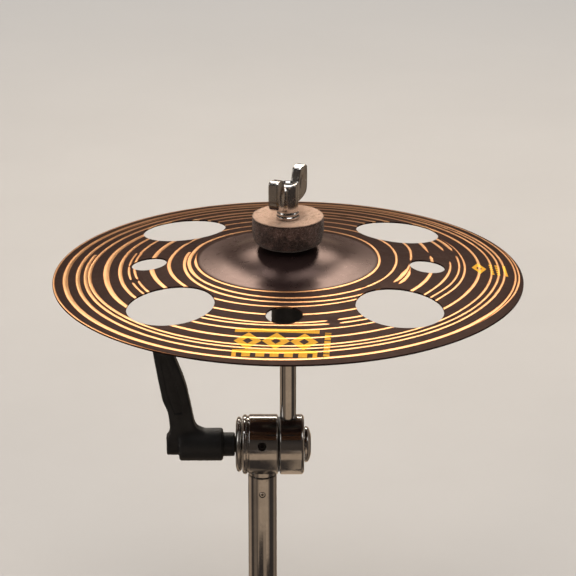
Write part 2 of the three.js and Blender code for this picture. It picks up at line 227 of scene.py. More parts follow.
def boolean(piece, tools, operation="DIFFERENCE"):
    for tool in tools:
        modifier = piece.modifiers.new("b", "BOOLEAN")
        modifier.operation, modifier.solver, modifier.object = operation, "MANIFOLD", tool
        bake(piece)
        bpy.data.objects.remove(tool)


def sharpen(piece, angle):
    piece.data.shade_smooth()
    piece.data.set_sharp_from_angle(angle=math.radians(angle))


def relax(piece, iterations):
    modifier = piece.modifiers.new("s", "SMOOTH")
    modifier.factor, modifier.iterations = 0.5, iterations
    bake(piece)


def lay_along(points, start, end):
    """moves points from the Z axis onto the line from start towards end"""
    line = np.array(end, float) - np.array(start, float)
    turn = Vector(line / np.linalg.norm(line)).to_track_quat("Z", "Y").to_matrix()
    return np.array([tuple(turn @ Vector(p)) for p in points]) + np.array(start, float)


def distance(start, end):
    return float(np.linalg.norm(np.array(end, float) - np.array(start, float)))


def rod(name, radius, start, end, seg=48, flare_start=0.0, flare_end=0.0):
    """a round bar; a flare widens (or, below 0, chamfers) an end"""
    length = distance(start, end)
    rows = [(0, 0)]
    if flare_start:
        rows += [(radius + flare_start, 0), (radius, abs(flare_start))]
    else:
        rows += [(radius, 0)]
    if flare_end:
        rows += [(radius, length - abs(flare_end)), (radius + flare_end, length)]
    else:
        rows += [(radius, length)]
    rows += [(0, length)]
    points, faces = lathe(rows, seg, closed=False)
    return new_mesh(name, lay_along(points, start, end), [faces], angle=40)


def drill(radius, start, end, seg=48, flare=0.0):
    return rod("drill", radius, start, end, seg=seg, flare_end=flare)


def drill_x(radius, start_x, end_x, seg):
    """a drill on the clamp axis"""
    return drill(radius, (start_x, 0, AXIS), (end_x, 0, AXIS), seg=seg)


def prism_faces(count):
    sides = [[i, (i + 1) % count, count + (i + 1) % count, count + i] for i in range(count)]
    return sides + [list(range(count))[::-1], list(range(count, 2 * count))]


def hex_cutter(flats, start, end):
    radius = flats / 2 / math.cos(math.radians(30))
    corners = [math.radians(60 * i) for i in range(6)]
    points = [(radius * math.cos(t), radius * math.sin(t), height)
              for height in (0, distance(start, end)) for t in corners]
    return new_mesh("hex", lay_along(points, start, end), [prism_faces(6)])


def star(outer, inner, start_x, end_x):
    """a twelve-pointed prism on the clamp axis"""
    count = 24
    points = []
    for x in (start_x, end_x):
        for i in range(count):
            t = 2 * math.pi * i / count
            radius = inner if i % 2 else outer
            points.append((x, -radius * math.sin(t), AXIS + radius * math.cos(t)))
    return new_mesh("star", points, [prism_faces(count)])


def tube_faces(first, rings, around):
    """faces of a closed tube whose rings of points follow each other from index first"""
    faces = []
    for i in range(rings - 1):
        for j in range(around):
            a = first + around * i + j
            b = first + around * i + (j + 1) % around
            faces.append([a, b, b + around, a + around])
    last = first + around * (rings - 1)
    faces.append(list(range(first, first + around))[::-1])
    faces.append(list(range(last, last + around)))
    return faces


def thread_rows(low, high, core, crest, seg, fade, phase=0.0):
    """lathe rows of a 1 mm pitch thread, fading out at both ends over a length"""
    pitch, rows_per_turn = 1.0, 8
    turn = np.arange(seg) / seg
    count = int(round((high - low) / pitch * rows_per_turn))
    rows = []
    for i in range(count + 1):
        z = low + (high - low) * i / count
        wave = np.abs(2 * (((z - phase) / pitch - turn) % 1.0) - 1)
        height = np.clip((wave - 0.1) / 0.78, 0, 1)
        full = max(min(1.0, (z - low) / fade, (high - z) / fade), 0.0) if fade else 1.0
        rows.append((core + (crest - core) * (height * full + (1 - full) * 0.85), z))
    return rows


# ---------------------------------------------------------- signed distance shapes
def sdf_mesh(name, field, low, high, voxel):
    """the zero surface of field(X, Y, Z)"""
    low, high = np.array(low, float), np.array(high, float)
    counts = np.ceil((high - low) / voxel).astype(int) + 1
    axes = [low[i] + voxel * np.arange(counts[i]) for i in range(3)]
    values = field(*np.meshgrid(*axes, indexing="ij")).astype(np.float32)
    grid = vdb.FloatGrid(background=float(voxel * 3))
    grid.copyFromArray(np.clip(values, -voxel * 3, voxel * 3))
    points, quads = grid.convertToQuads(isovalue=0)
    return new_mesh(name, np.array(points, float) * voxel + low,
                    [np.array(quads, int)[:, ::-1]])


def smooth_min(a, b, width):
    h = np.clip(0.5 + 0.5 * (b - a) / width, 0, 1)
    return b + (a - b) * h - width * h * (1 - h)


def smooth_max(a, b, width):
    return -smooth_min(-a, -b, width)


def smooth01(x):
    x = np.clip(x, 0, 1)
    return x * x * (3 - 2 * x)


def outline_distance(x, y, outline):
    """signed distance to a closed 2-D outline"""
    corners = np.array(outline, float)
    best = np.full(x.shape, 1e9)
    inside = np.zeros(x.shape, bool)
    for i, b in enumerate(corners):
        a = corners[i - 1]
        edge = b - a
        dx, dy = x - a[0], y - a[1]
        t = np.clip((dx * edge[0] + dy * edge[1]) / (edge @ edge), 0, 1)
        best = np.minimum(best, (dx - edge[0] * t) ** 2 + (dy - edge[1] * t) ** 2)
        crossing = edge[0] * dy / (edge[1] + 1e-12) + a[0]
        inside ^= ((a[1] > y) != (b[1] > y)) & (x < crossing)
    return np.where(inside, -np.sqrt(best), np.sqrt(best))


def plate_distance(outline, side, radius):
    """a plate with rounded edges, from the distances to its outline and broad faces"""
    a, b = outline + radius, side + radius
    outside = np.hypot(np.maximum(a, 0), np.maximum(b, 0))
    return np.minimum(np.maximum(a, b), 0) + outside - radius


def smooth_closed(outline, steps):
    """Catmull-Rom through a closed outline"""
    points = np.array(outline, float)
    count = len(points)
    out = []
    for i in range(count):
        p0, p1, p2, p3 = (points[(i + k) % count] for k in (-1, 0, 1, 2))
        for k in range(steps):
            t = k / steps
            out.append(0.5 * ((2 * p1) + (-p0 + p2) * t + (2 * p0 - 5 * p1 + 4 * p2 - p3) * t * t
                              + (-p0 + 3 * p1 - 3 * p2 + p3) * t ** 3))
    return out


# ============================================================== shader helpers
class Field:
    """a node output; arithmetic on it adds Math nodes to its tree"""

    def __init__(self, socket):
        self.socket = socket

    def sibling(self, name):
        """another output of the same node"""
        return Field(self.socket.node.outputs[name])

    def __add__(self, other):
        return calc("ADD", self, other)

    def __sub__(self, other):
        return calc("SUBTRACT", self, other)

    def __rsub__(self, other):
        return calc("SUBTRACT", other, self)

    def __mul__(self, other):
        return calc("MULTIPLY", self, other)

    def __truediv__(self, other):
        return calc("DIVIDE", self, other)

    def __mod__(self, other):
        return calc("FLOORED_MODULO", self, other)

    def __abs__(self):
        return calc("ABSOLUTE", self)


def feed(socket, value):
    """links a Field to an input, or sets a plain value; colours may leave out alpha"""
    if isinstance(value, Field):
        socket.id_data.links.new(value.socket, socket)
    elif isinstance(value, tuple) and len(value) == 3 and len(socket.default_value) == 4:
        socket.default_value = (*value, 1)
    else:
        socket.default_value = value


def node(kind, inputs, output=0, owner=None, **settings):
    """adds a node to the owner's tree, or to the tree its inputs come from"""
    if owner:
        tree = owner.node_tree
    else:
        tree = next(v.socket.id_data for v in inputs.values() if isinstance(v, Field))
    made = tree.nodes.new("ShaderNode" + kind)
    for key, value in settings.items():
        setattr(made, key, value)
    for key, value in inputs.items():
        feed(made.inputs[key], value)
    return Field(made.outputs[output]) if made.outputs else None


def calc(operation, *values, clamp=False):
    return node("Math", dict(enumerate(values)), operation=operation, use_clamp=clamp)


def larger(a, b):
    return calc("MAXIMUM", a, b)


def smaller(a, b):
    return calc("MINIMUM", a, b)


def from_axis(x, y):
    return calc("SQRT", x * x + y * y)


def attribute(owner, name, output="Fac"):
    return node("Attribute", {}, output, owner, attribute_name=name)


def position(owner, rest=False):
    """place in millimetres; rest reads the place stored in the piece's rest attribute"""
    if rest:
        source, scale = attribute(owner, "rest", "Vector"), 1.0
    else:
        source, scale = node("TexCoord", {}, "Object", owner), 1000.0
    return node("VectorMath", {0: source, "Scale": scale}, operation="SCALE")


def stretch(vector, factors):
    return node("VectorMath", {0: vector, 1: factors}, operation="MULTIPLY")


def split(vector):
    first = node("SeparateXYZ", {0: vector})
    return [first.sibling(i) for i in range(3)]


def combine(x, y, z):
    return node("CombineXYZ", {0: x, 1: y, 2: z})


def noise(vector, scale, detail, rough=0.5, distort=0.0):
    return node("TexNoise", {"Vector": vector, "Scale": scale, "Detail": detail,
                             "Roughness": rough, "Distortion": distort}, "Fac")


def cells(vector, scale, feature="F1"):
    return node("TexVoronoi", {"Vector": vector, "Scale": scale}, "Distance", feature=feature)


def remap(value, span, to=(0, 1), smooth=False):
    return node("MapRange", dict(enumerate((value, *span, *to))),
                interpolation_type="SMOOTHSTEP" if smooth else "LINEAR")


def mix(amount, under, over, blend="MIX"):
    return node("Mix", {0: amount, 6: under, 7: over}, 2, data_type="RGBA", blend_type=blend)


def bump(height, strength, depth, under=None):
    """depth in millimetres for a height of 1; under is the normal it is laid on"""
    inputs = {"Strength": strength, "Distance": depth * MM, "Height": height}
    if under:
        inputs["Normal"] = under
    return node("Bump", inputs)


def shade(colour, factor):
    return tuple(c * factor for c in colour)


def fine_along(axis, fine, coarse):
    """stretch that packs a texture into fine rings along an axis"""
    return (coarse, coarse, fine) if axis == "Z" else (fine, coarse, coarse)


def edge_wear(owner, span=(0.5, 0.56)):
    return remap(node("NewGeometry", {}, "Pointiness", owner), span)


BSDF_INPUTS = dict(
    base="Base Color", metal="Metallic", rough="Roughness", normal="Normal",
    sheen="Sheen Weight", sheen_rough="Sheen Roughness", sheen_tint="Sheen Tint",
    spec="Specular IOR Level", tint="Specular Tint", aniso="Anisotropic", tangent="Tangent")


def clear_nodes(owner):
    owner.use_nodes = True
    owner.node_tree.nodes.clear()
    return owner


def new_material(name):
    return clear_nodes(bpy.data.materials.new(name))


def principled(owner, **settings):
    inputs = {BSDF_INPUTS[key]: value for key, value in settings.items()}
    return node("BsdfPrincipled", inputs, owner=owner)


def finish(owner, **settings):
    node("OutputMaterial", {0: principled(owner, **settings)})
    return owner


# ============================================================== shared materials
def chrome(name, base=(0.60, 0.585, 0.57), rough=0.09, axis="Z", rest=False):
    material = new_material(name)
    place = position(material, rest)
    cloud = noise(place, scale=0.09, detail=4, rough=0.6)
    smudge = noise(place, scale=0.45, detail=6, rough=0.65, distort=0.6)
    pits = cells(place, scale=1.3)
    fine = noise(place, scale=7.0, detail=2)
    lines = noise(stretch(place, fine_along(axis, fine=6.0, coarse=0.25)),
                  scale=2.2, detail=4, rough=0.6, distort=0.2)
    warm = tuple(c * k for c, k in zip(base, (0.8, 0.76, 0.72)))
    colour = mix(remap(cloud, (0.35, 0.7)), base, shade(base, 0.86))
    colour = mix(remap(smudge, (0.5, 0.75), to=(0, 0.35)), colour, warm)
    gloss = remap(smudge, (0.3, 0.75), to=(rough * 0.6, rough * 2.4))
    gloss = gloss + remap(lines, (0.45, 0.7), to=(0.0, rough * 0.9))
    gloss = gloss + remap(pits, (0.0, 0.12), to=(1.0, 0.0)) * 0.12
    normal = bump(fine, strength=0.05, depth=0.02)
    normal = bump(lines, strength=0.06, depth=0.05, under=normal)
    normal = bump(cloud, strength=0.12, depth=0.5, under=normal)
    return finish(material, base=colour, metal=1.0, rough=gloss, normal=normal)


def steel(name, base, rough=0.3, axis="Z"):
    material = new_material(name)
    place = position(material)
    lines = noise(stretch(place, fine_along(axis, fine=7.0, coarse=0.3)),
                  scale=1.6, detail=5, rough=0.7)
    cloud = noise(place, scale=0.5, detail=5, rough=0.6)
    colour = mix(remap(cloud, (0.3, 0.7)), base, shade(base, 0.72))
    colour = mix(edge_wear(material), colour, shade(base, 1.45))
    return finish(material, base=colour, metal=1.0,
                  rough=remap(cloud, (0.3, 0.7), to=(rough * 0.75, rough * 1.35)),
                  normal=bump(lines, strength=0.25, depth=0.04))


def nylon(name, base=(0.0082, 0.0078, 0.0078), rough=0.42, grain=0.35, scale=2.6):
    material = new_material(name)
    place = position(material)
    coarse_grain = cells(place, scale=scale, feature="SMOOTH_F1")
    fine_grain = noise(place, scale=scale * 2.5, detail=4, rough=0.6)
    cloud = noise(place, scale=0.12, detail=4, rough=0.6)
    dust = noise(place, scale=0.9, detail=6, rough=0.7, distort=0.4)
    scuff = noise(stretch(place, (1.0, 1.0, 0.18)), scale=1.4, detail=6, rough=0.75, distort=0.8)
    colour = mix(remap(cloud, (0.35, 0.7)), base, shade(base, 1.9))
    colour = mix(remap(scuff, (0.62, 0.74), to=(0, 0.5)), colour, over=(0.05, 0.048, 0.046))
    colour = mix(edge_wear(material, (0.51, 0.6)) * 0.7, colour, over=(0.055, 0.053, 0.05))
    gloss = remap(dust, (0.3, 0.75), to=(rough * 0.85, rough * 1.35))
    gloss = gloss + remap(scuff, (0.55, 0.75), to=(0.0, 0.12))
    normal = bump(coarse_grain, strength=grain, depth=0.09)
    normal = bump(fine_grain, strength=grain * 0.7, depth=0.05, under=normal)
    return finish(material, base=colour, metal=0.0, rough=gloss, normal=normal, spec=0.36)


# =========================================================== handing pieces over
def dress(piece, material, replaces):
    piece.data.materials.clear()
    piece.data.materials.append(material)
    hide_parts(replaces)


def own(piece, material, body, replaces):
    """a piece that rides rigidly on one body"""
    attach(piece, body)
    dress(piece, material, replaces)


def stretch_between(piece, material, start, end, replaces):
    """a piece baked in place and dressed, riding on no body; start and end are not used"""
    tuple(c * MM for c in start)
    tuple(c * MM for c in end)
    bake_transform(piece)
    dress(piece, material, replaces)


def float_attribute(mesh, name, values):
    made = mesh.attributes.new(name, "FLOAT", "POINT")
    made.data.foreach_set("value", np.asarray(values, np.float32))


def rest_attribute(mesh, points):
    made = mesh.attributes.new("rest", "FLOAT_VECTOR", "POINT")
    made.data.foreach_set("vector", np.asarray(points, np.float32).ravel())


# ======================================================================= cymbal
# Bright lathe cuts, each a list of (angle, radius, width) in degrees and millimetres. A cut
# starts at the left (-195), passes the front (-90), the right (0) and the back (90), and ends
# at the left again (165).
CUTS = [
    [(-195, 50.6, 0), (-184, 49.9, .6), (-176, 49.8, 1.5), (-150, 49.8, 1.5), (-90, 49.5, 1.7),
     (-60, 49.2, 1.7), (-30, 49.2, 1.4), (0, 49.3, 1.3), (15, 50.0, 1.3), (30, 51.5, 1.5),
     (45, 52.6, 1.8), (60, 53.2, 2.0), (90, 53.5, 2.2), (150, 53.4, 2.2), (165, 52.9, 2.1)],
    [(-195, 52.8, 2.1), (-180, 53.2, 2.0), (-165, 53.8, 1.9), (-150, 54.5, 1.8),
     (-120, 55.3, 1.8), (-90, 56.2, 1.9), (-60, 56.7, 1.8), (-30, 57.2, 1.3), (0, 58.5, 1.2),
     (15, 60.2, 1.3), (30, 62.3, 1.4), (45, 63.1, 1.6), (90, 63.6, 1.9), (165, 63.2, 1.9)],
    [(-195, 55.3, 1.6), (-180, 55.6, 1.8), (-165, 56.6, 1.8), (-150, 58.0, 1.8),
     (-120, 60.1, 1.9), (-90, 60.8, 1.9), (-60, 61.9, 1.7), (-42, 62.7, 1.6), (-40, 62.8, 0),
     (-28.6, 63.5, 0), (-27, 63.6, 1.5), (-24, 63.8, 2.2), (-15, 64.0, 2.3), (-7, 65.0, 1.0),
     (0, 65.8, .9), (10, 67.9, 1.2), (20, 70.8, 1.4), (30, 72.8, 1.7), (45, 73.9, 2.0),
     (90, 74.1, 2.3), (165, 73.5, 2.7)],
    [(-195, 63.2, 1.9), (-180, 64.0, 2.0), (-150, 64.8, 1.9), (-120, 66.0, 1.9),
     (-90, 65.8, 1.8), (-60, 65.5, 1.5), (-42, 66.0, 1.5), (-40, 66.1, 0), (-28.6, 66.6, 0),
     (-27, 66.6, 1.3), (-24, 66.7, 2.0), (-15, 66.6, 1.9), (-9, 66.2, .6), (-3, 66.0, 0),
     (165, 66.0, 0)],
    [(-195, 73.5, 2.7), (-150, 73.6, 2.4), (-120, 74.7, 2.0), (-90, 74.6, 2.0), (-60, 74.6, 1.9),
     (-30, 76.0, 1.9), (-15, 77.0, 1.9), (0, 78.0, 1.7), (7.6, 78.7, 1.5), (8.4, 78.8, 1.9),
     (9.6, 79.0, 1.7), (10.6, 79.1, .7), (17, 80.0, .7), (21, 80.7, 1.9), (30, 82.6, 2.2),
     (45, 83.8, 2.1), (90, 84.1, 2.1), (165, 83.4, 1.5)],
    [(-195, 83.0, 1.4), (-180, 82.8, 1.3), (-170, 82.6, 1.3), (-150, 83.0, 1.5),
     (-120, 83.3, 1.9), (-90, 83.5, 1.8), (-70, 82.8, 2.1), (-60, 82.8, 1.6), (-30, 83.3, 1.3),
     (-20, 84.4, 1.2), (-10, 86.0, 1.2), (0, 87.6, 1.2), (5.2, 88.3, 1.1), (6.6, 88.5, 0),
     (18.2, 89.9, 0), (19.6, 90.1, 1.7), (25, 90.6, 2.0), (45, 91.4, 2.0), (90, 91.6, 2.0),
     (165, 91.0, 1.9)],
    [(-195, 85.6, 1.1), (-170, 85.8, 1.1), (-150, 86.0, 1.3), (-120, 86.7, 1.9),
     (-90, 86.0, 1.9), (-70, 86.6, 2.0), (-60, 86.8, 1.6), (-30, 87.5, 1.2), (-15, 90.0, 1.1),
     (0, 92.4, 1.1), (14.2, 94.5, 1.2), (15.4, 94.7, 0), (18.4, 95.1, 0), (19.6, 95.3, 1.8),
     (25, 96.0, 2.1), (45, 97.6, 2.3), (90, 98.5, 2.6), (165, 98.5, 3.0)],
    [(-195, 90.8, 2.0), (-180, 90.5, 2.0), (-150, 91.6, 1.9), (-120, 92.3, 1.9),
     (-90, 91.2, 1.8), (-60, 91.2, 1.5), (-30, 91.4, 1.2), (-15, 93.5, 1.2), (0, 95.5, 1.1),
     (12, 97.0, .9), (22, 98.4, .6), (32, 99.2, 0), (165, 99.5, 0)],
    [(-195, 98.4, 3.1), (-180, 98.0, 3.1), (-165, 98.6, 2.8), (-150, 100.1, 2.4),
     (-120, 100.7, 2.2), (-90, 99.8, 2.1), (-55, 99.5, 1.8), (-35, 99.6, 1.7), (-20, 100.5, 1.6),
     (-10, 101.8, 1.6), (0, 103.4, 1.5), (15, 105.5, 1.5), (25, 106.4, 1.8), (45, 107.0, 2.0),
     (165, 106.8, 1.9)],
    [(-195, 106.8, 1.9), (-150, 107.3, 1.8), (-120, 108.2, 1.8), (-90, 107.5, 1.8),
     (-60, 106.8, 1.6), (-35, 106.8, 1.3), (-15, 108.0, 1.2), (0, 110.0, 1.1), (15, 112.2, 1.2),
     (30, 113.0, 1.6), (45, 113.3, 2.0), (165, 113.4, 2.2)],
    [(-195, 109.5, 1.8), (-180, 109.2, 1.8), (-150, 110.1, 1.8), (-120, 111.2, 1.8),
     (-90, 110.6, 1.7), (-60, 110.0, 1.5), (-35, 110.2, 1.3), (-15, 111.5, 1.2), (0, 113.9, 1.2),
     (15, 116.2, 1.2), (30, 116.9, 1.5), (60, 117.2, 1.2), (120, 117.4, .8), (150, 117.4, 0),
     (165, 117.4, 0)],
    [(-195, 113.4, 2.2), (-180, 113.3, 2.2), (-150, 114.5, 2.0), (-120, 115.7, 1.9),
     (-90, 114.5, 1.8), (-60, 113.3, 1.6), (-35, 113.3, 1.4), (-15, 114.6, 1.2), (0, 117.0, 1.2),
     (15, 119.0, 1.3), (30, 119.8, 1.8), (60, 120.1, 2.3), (165, 120.1, 2.7)],
    [(-195, 120.1, 2.7), (-180, 120.0, 2.8), (-150, 121.0, 2.6), (-120, 121.9, 2.4),
     (-90, 121.2, 2.4), (-60, 120.1, 2.4), (-35, 120.0, 2.2), (-24, 120.6, 1.4),
     (-12, 121.6, .9), (0, 123.0, .9), (15, 124.3, 1.0), (30, 125.0, 1.3), (60, 125.6, 1.4),
     (165, 126.2, 1.1)],
    [(-195, 126.2, 1.0), (-150, 126.4, 1.0), (-128, 126.6, .6), (-112, 126.7, 0),
     (165, 126.7, 0)],
    [(-195, 123.0, 0), (-40, 121.4, 0), (-26, 121.8, .7), (-12, 123.4, .9), (0, 124.9, .9),
     (12, 125.8, .7), (25, 126.3, 0), (165, 126.3, 0)],
]
CUT_START = -195.0


def front_width(angle, width):
    """the cuts run thinner across the front"""
    if not -160 < angle < -20:
        return width
    return width * (1 - 0.26 * max(0.0, math.cos(math.radians((angle + 90) * 1.25))) ** 0.7)


CUTS = [[(a, r, front_width(a, w)) for a, r, w in cut] for cut in CUTS]

# dents the lathe missed: (angle, distance from the axis, dent radius, depth value)
DENTS = [(-74, 84.6, 5.2, 3.0), (-165.5, 84.6, 3.6, 2.6), (-181, 84.0, 3.2, 1.8),
         (13.5, 83, 6.0, 2.4), (14, 93.5, 4.0, 1.4), (-10, 70.5, 5.0, 1.5), (2, 66.5, 4.5, 1.0),
         (-45, 57.5, 4.0, .8), (70, 90, 6, 1.5), (112, 72, 5, 1.6), (148, 66, 5, 1.2),
         (100, 104, 6, 1.3), (38, 118, 5, .8), (-110, 62.5, 3.0, .5), (165, 79, 4.5, 1.0)]
# light hammering all over the bow, in rings of (radius, count)
HAMMER_RINGS = ((58, 13), (70, 17), (82, 21), (94, 25), (106, 29), (117, 33))
HAMMER = [(360 * (i + RNG.uniform(-.32, .32)) / count, ring + RNG.uniform(-4.5, 4.5),
           RNG.uniform(4.5, 7.5), RNG.uniform(.15, .75))
          for ring, count in HAMMER_RINGS for i in range(count)]

BORE_R = 6.2
SHEET = 0.95                          # thickness
BELL_CURVE, BELL_R = 80.0, 30.0       # the bell's radius of curvature, and where its dome ends
FOOT_R, BOW_END_R = 42.0, 127.0       # the bow's inner and outer end
SLOPE_IN, SLOPE_OUT = 0.113, 0.133    # the bow's slope at those ends
# round holes: (count, radius, distance of the centre from the axis, first angle)
HOLES = ((4, 23.0, 84.3, 45), (4, 9.5, 75.0, 0))
HOLE_TURN = -1.5
HOLE_BEVEL = 0.16


def drop(radius):
    """how far the plate lies below the apex"""
    radius = np.asarray(radius, float)
    steep, width = BELL_R / BELL_CURVE, FOOT_R - BELL_R

    def dome(r):
        return (r * r - BORE_R * BORE_R) / (2 * BELL_CURVE)

    def fillet(d):
        return steep * d - ((steep - SLOPE_IN) * d * d) / (2 * width)

    d = np.clip(radius - FOOT_R, 0, None)
    bow = (dome(BELL_R) + fillet(width) + SLOPE_IN * d
           + (SLOPE_OUT - SLOPE_IN) * d * d / (2 * (BOW_END_R - FOOT_R)))
    flare = dome(BELL_R) + fillet(np.clip(radius - BELL_R, 0, width))
    return np.where(radius <= BELL_R, dome(radius), np.where(radius <= FOOT_R, flare, bow))


def dent_field(x, y, dents):
    out = np.zeros_like(x)
    for angle, away, size, depth in dents:
        a = math.radians(angle)
        q = np.hypot(x - away * math.cos(a), y - away * math.sin(a)) / size
        out += depth * np.where(q < 1, (1 - q * q) ** 2, 0)
    return out


def plate_relief(x, y):
    """(depth of cuts and dents, dent value that narrows the cuts)"""
    radius = np.hypot(x, y)
    angle = (np.degrees(np.arctan2(y, x)) - CUT_START) % 360 + CUT_START
    big, small = dent_field(x, y, DENTS), dent_field(x, y, HAMMER)
    dent = big * 1.1 + small * 0.22
    groove = np.zeros_like(radius)
    for cut in CUTS:
        angles, radii, widths = np.array(cut).T
        width = np.interp(angle, angles, widths) - dent
        q = np.abs(radius - np.interp(angle, angles, radii)) / np.maximum(width / 2 + 0.25, 1e-3)
        groove = np.maximum(groove, np.where((q < 1) & (width > 0.2), (1 - q * q) ** 2, 0))
    return 0.075 * groove + 0.055 * big + 0.045 * small, dent


def cut_hole(xs, ys, triangles, hole_x, hole_y, radius):
    """cuts a round hole; returns the new triangles and the loop of points round its edge"""
    # keep grid points off the hole's edge, so the cut leaves no slivers
    clearance = 0.13
    grid_x, grid_y = np.array(xs), np.array(ys)
    away = np.hypot(grid_x - hole_x, grid_y - hole_y)
    near = np.abs(away - radius) < clearance
    push = (radius + np.where(away[near] >= radius, clearance, -clearance)) / away[near]
    grid_x[near] = hole_x + (grid_x[near] - hole_x) * push
    grid_y[near] = hole_y + (grid_y[near] - hole_y) * push
    xs[:], ys[:] = grid_x.tolist(), grid_y.tolist()
    inside = (np.hypot(grid_x - hole_x, grid_y - hole_y) < radius).tolist()
    crossings, following = {}, {}

    def crossing(p, q):
        """the point where edge pq meets the hole's edge"""
        key = (min(p, q), max(p, q))
        if key not in crossings:
            x, y = xs[p] - hole_x, ys[p] - hole_y
            dx, dy = xs[q] - hole_x - x, ys[q] - hole_y - y
            a, b, c = dx * dx + dy * dy, 2 * (x * dx + y * dy), x * x + y * y - radius * radius
            root = math.sqrt(b * b - 4 * a * c)
            s = next(s for s in ((-b - root) / (2 * a), (-b + root) / (2 * a))
                     if -1e-9 <= s <= 1 + 1e-9)
            crossings[key] = len(xs)
            xs.append(hole_x + x + dx * s)
            ys.append(hole_y + y + dy * s)
        return crossings[key]

    kept = []
    for triangle in triangles:
        flags = [inside[v] for v in triangle]
        count = sum(flags)
        if count == 0:
            kept.append(triangle)
        if count in (0, 3):
            continue
        odd = flags.index(count == 1)
        u, v, w = (triangle[(odd + k) % 3] for k in range(3))
        first, second = crossing(u, v), crossing(u, w)
        if count == 1:
            kept += [[first, v, w], [first, w, second]]
            following[second] = first
        else:
            kept.append([u, first, second])
            following[first] = second
    start = next(iter(following))
    loop, v = [start], following[start]
    while v != start:
        loop.append(v)
        v = following[v]
    return kept, loop


def build_cymbal():
    around = 400
    radii = np.array(list(np.linspace(BORE_R + 0.2, 46, 26))
                     + list(np.arange(46.6, 126.4, 0.52)) + [126.62, 126.8])
    ring_count = len(radii)
    turn = np.arange(around) * 2 * math.pi / around
    grid_r, grid_t = np.meshgrid(radii, turn, indexing="ij")
    xs = (grid_r * np.cos(grid_t)).ravel().tolist()
    ys = (grid_r * np.sin(grid_t)).ravel().tolist()
    i, j = np.meshgrid(np.arange(ring_count - 1), np.arange(around), indexing="ij")
    a, b = (i * around + j).ravel(), (i * around + (j + 1) % around).ravel()
    c, d = b + around, a + around
    even = ((i + j) % 2 == 0).ravel()
    triangles = np.concatenate([
        np.stack([a, d, c], 1)[even], np.stack([a, c, b], 1)[even],
        np.stack([a, d, b], 1)[~even], np.stack([b, d, c], 1)[~even]]).tolist()

    # walls: (centre x, y, loop, ((radius, depth below the face), ...) from the face inwards)
    walls = []
    for count, hole_r, away, first in HOLES:
        for k in range(count):
            t = math.radians(first + 90 * k + HOLE_TURN)
            hole_x, hole_y = away * math.cos(t), away * math.sin(t)
            triangles, loop = cut_hole(xs, ys, triangles, hole_x, hole_y, hole_r + HOLE_BEVEL)
            walls.append((hole_x, hole_y, loop, ((hole_r + 0.06, 0.04), (hole_r, 0.17))))
    for first, grid_end, rim in ((0, radii[0], BORE_R),
                                 ((ring_count - 1) * around, radii[-1], CYMBAL_R)):
        edge = ((grid_end + (rim - grid_end) * 0.75, 0.05), (rim, 0.2))
        walls.append((0.0, 0.0, range(first, first + around), edge))

    xs, ys, triangles = np.array(xs), np.array(ys), np.array(triangles)
    used = np.unique(triangles)
    renumber = np.full(len(xs), -1)
    renumber[used] = np.arange(len(used))
    xs, ys, triangles = xs[used], ys[used], renumber[triangles]
    count = len(xs)
    relief, dent = plate_relief(xs, ys)
    level = APEX - drop(np.hypot(xs, ys))
    top = level - relief
    bottom = level - SHEET - relief * 0.55 + 0.02
    points = [np.stack([xs, ys, top], 1), np.stack([xs, ys, bottom], 1)]
    faces = [triangles, triangles[:, ::-1] + count]
    total = 2 * count
    for centre_x, centre_y, loop, edge in walls:
        loop = renumber[np.array(loop)]
        out_x, out_y = xs[loop] - centre_x, ys[loop] - centre_y
        length = np.hypot(out_x, out_y)
        rows = [loop]
        steps = [(r, top[loop] - depth) for r, depth in edge]
        steps += [(r, bottom[loop] + depth) for r, depth in reversed(edge)]
        for r, z in steps:
            points.append(np.stack([centre_x + out_x / length * r,
                                    centre_y + out_y / length * r, z], 1))
            rows.append(np.arange(total, total + len(loop)))
            total += len(loop)
        rows.append(loop + count)
        for low, high in zip(rows[:-1], rows[1:]):
            faces.append(np.stack([low, high, np.roll(high, -1), np.roll(low, -1)], 1))
    plate = new_mesh("cymbal_plate_bronze", np.concatenate(points), faces, angle=50)
    dents = np.zeros(total)
    dents[:2 * count] = np.tile(dent, 2)
    float_attribute(plate.data, "dent", dents)
    float_attribute(plate.data, "topside", np.arange(total) < count)
    return plate


def cut_curve(turn, cut, column, scale):
    """radius (column 1) or width (column 2) of a cut round the cymbal"""
    curve = node("FloatCurve", {"Value": turn})
    mapping = curve.socket.node.mapping
    points = mapping.curves[0].points
    stations = [((row[0] - CUT_START) / 360.0, row[column] / scale) for row in cut]
    points[0].location = stations[0]
    points[-1].location = stations[-1]
    for station in stations[1:-1]:
        points.new(*station)
    for point in points:
        point.handle_type = "VECTOR" if column == 2 else "AUTO_CLAMPED"
    mapping.use_clip = False
    mapping.update()
    return curve * scale


def cut_mask(turn, radius, slack, dent):
    """1 inside the lathe cuts"""
    mask = None
    for cut in CUTS:
        middle_r = cut_curve(turn, cut, column=1, scale=130.0)
        width = cut_curve(turn, cut, column=2, scale=4.0)
        width = width + slack * smaller(width, 1.0) - dent
        one = calc("MULTIPLY_ADD", width * 0.5 - abs(radius - middle_r), 1 / 0.34, 0.5, clamp=True)
        one = one * calc("MULTIPLY", width, 2.2, clamp=True)  # none where its width runs out
        mask = one if mask is None else larger(mask, one)
    return mask


# --- printed marks; u runs across a mark, anticlockwise, and v outwards from the axis
def below_zero(value, soft=0.12):
    return calc("MULTIPLY_ADD", value, -1 / soft, 0.5, clamp=True)


def box_mask(u, v, across, out):
    du = abs(u - (across[0] + across[1]) / 2) - (across[1] - across[0]) / 2
    dv = abs(v - (out[0] + out[1]) / 2) - (out[1] - out[0]) / 2
    return below_zero(larger(du, dv))


def repeat(value, pitch):
    """distance to the nearest multiple of the pitch"""
    return abs((value + pitch / 2) % pitch - pitch / 2)


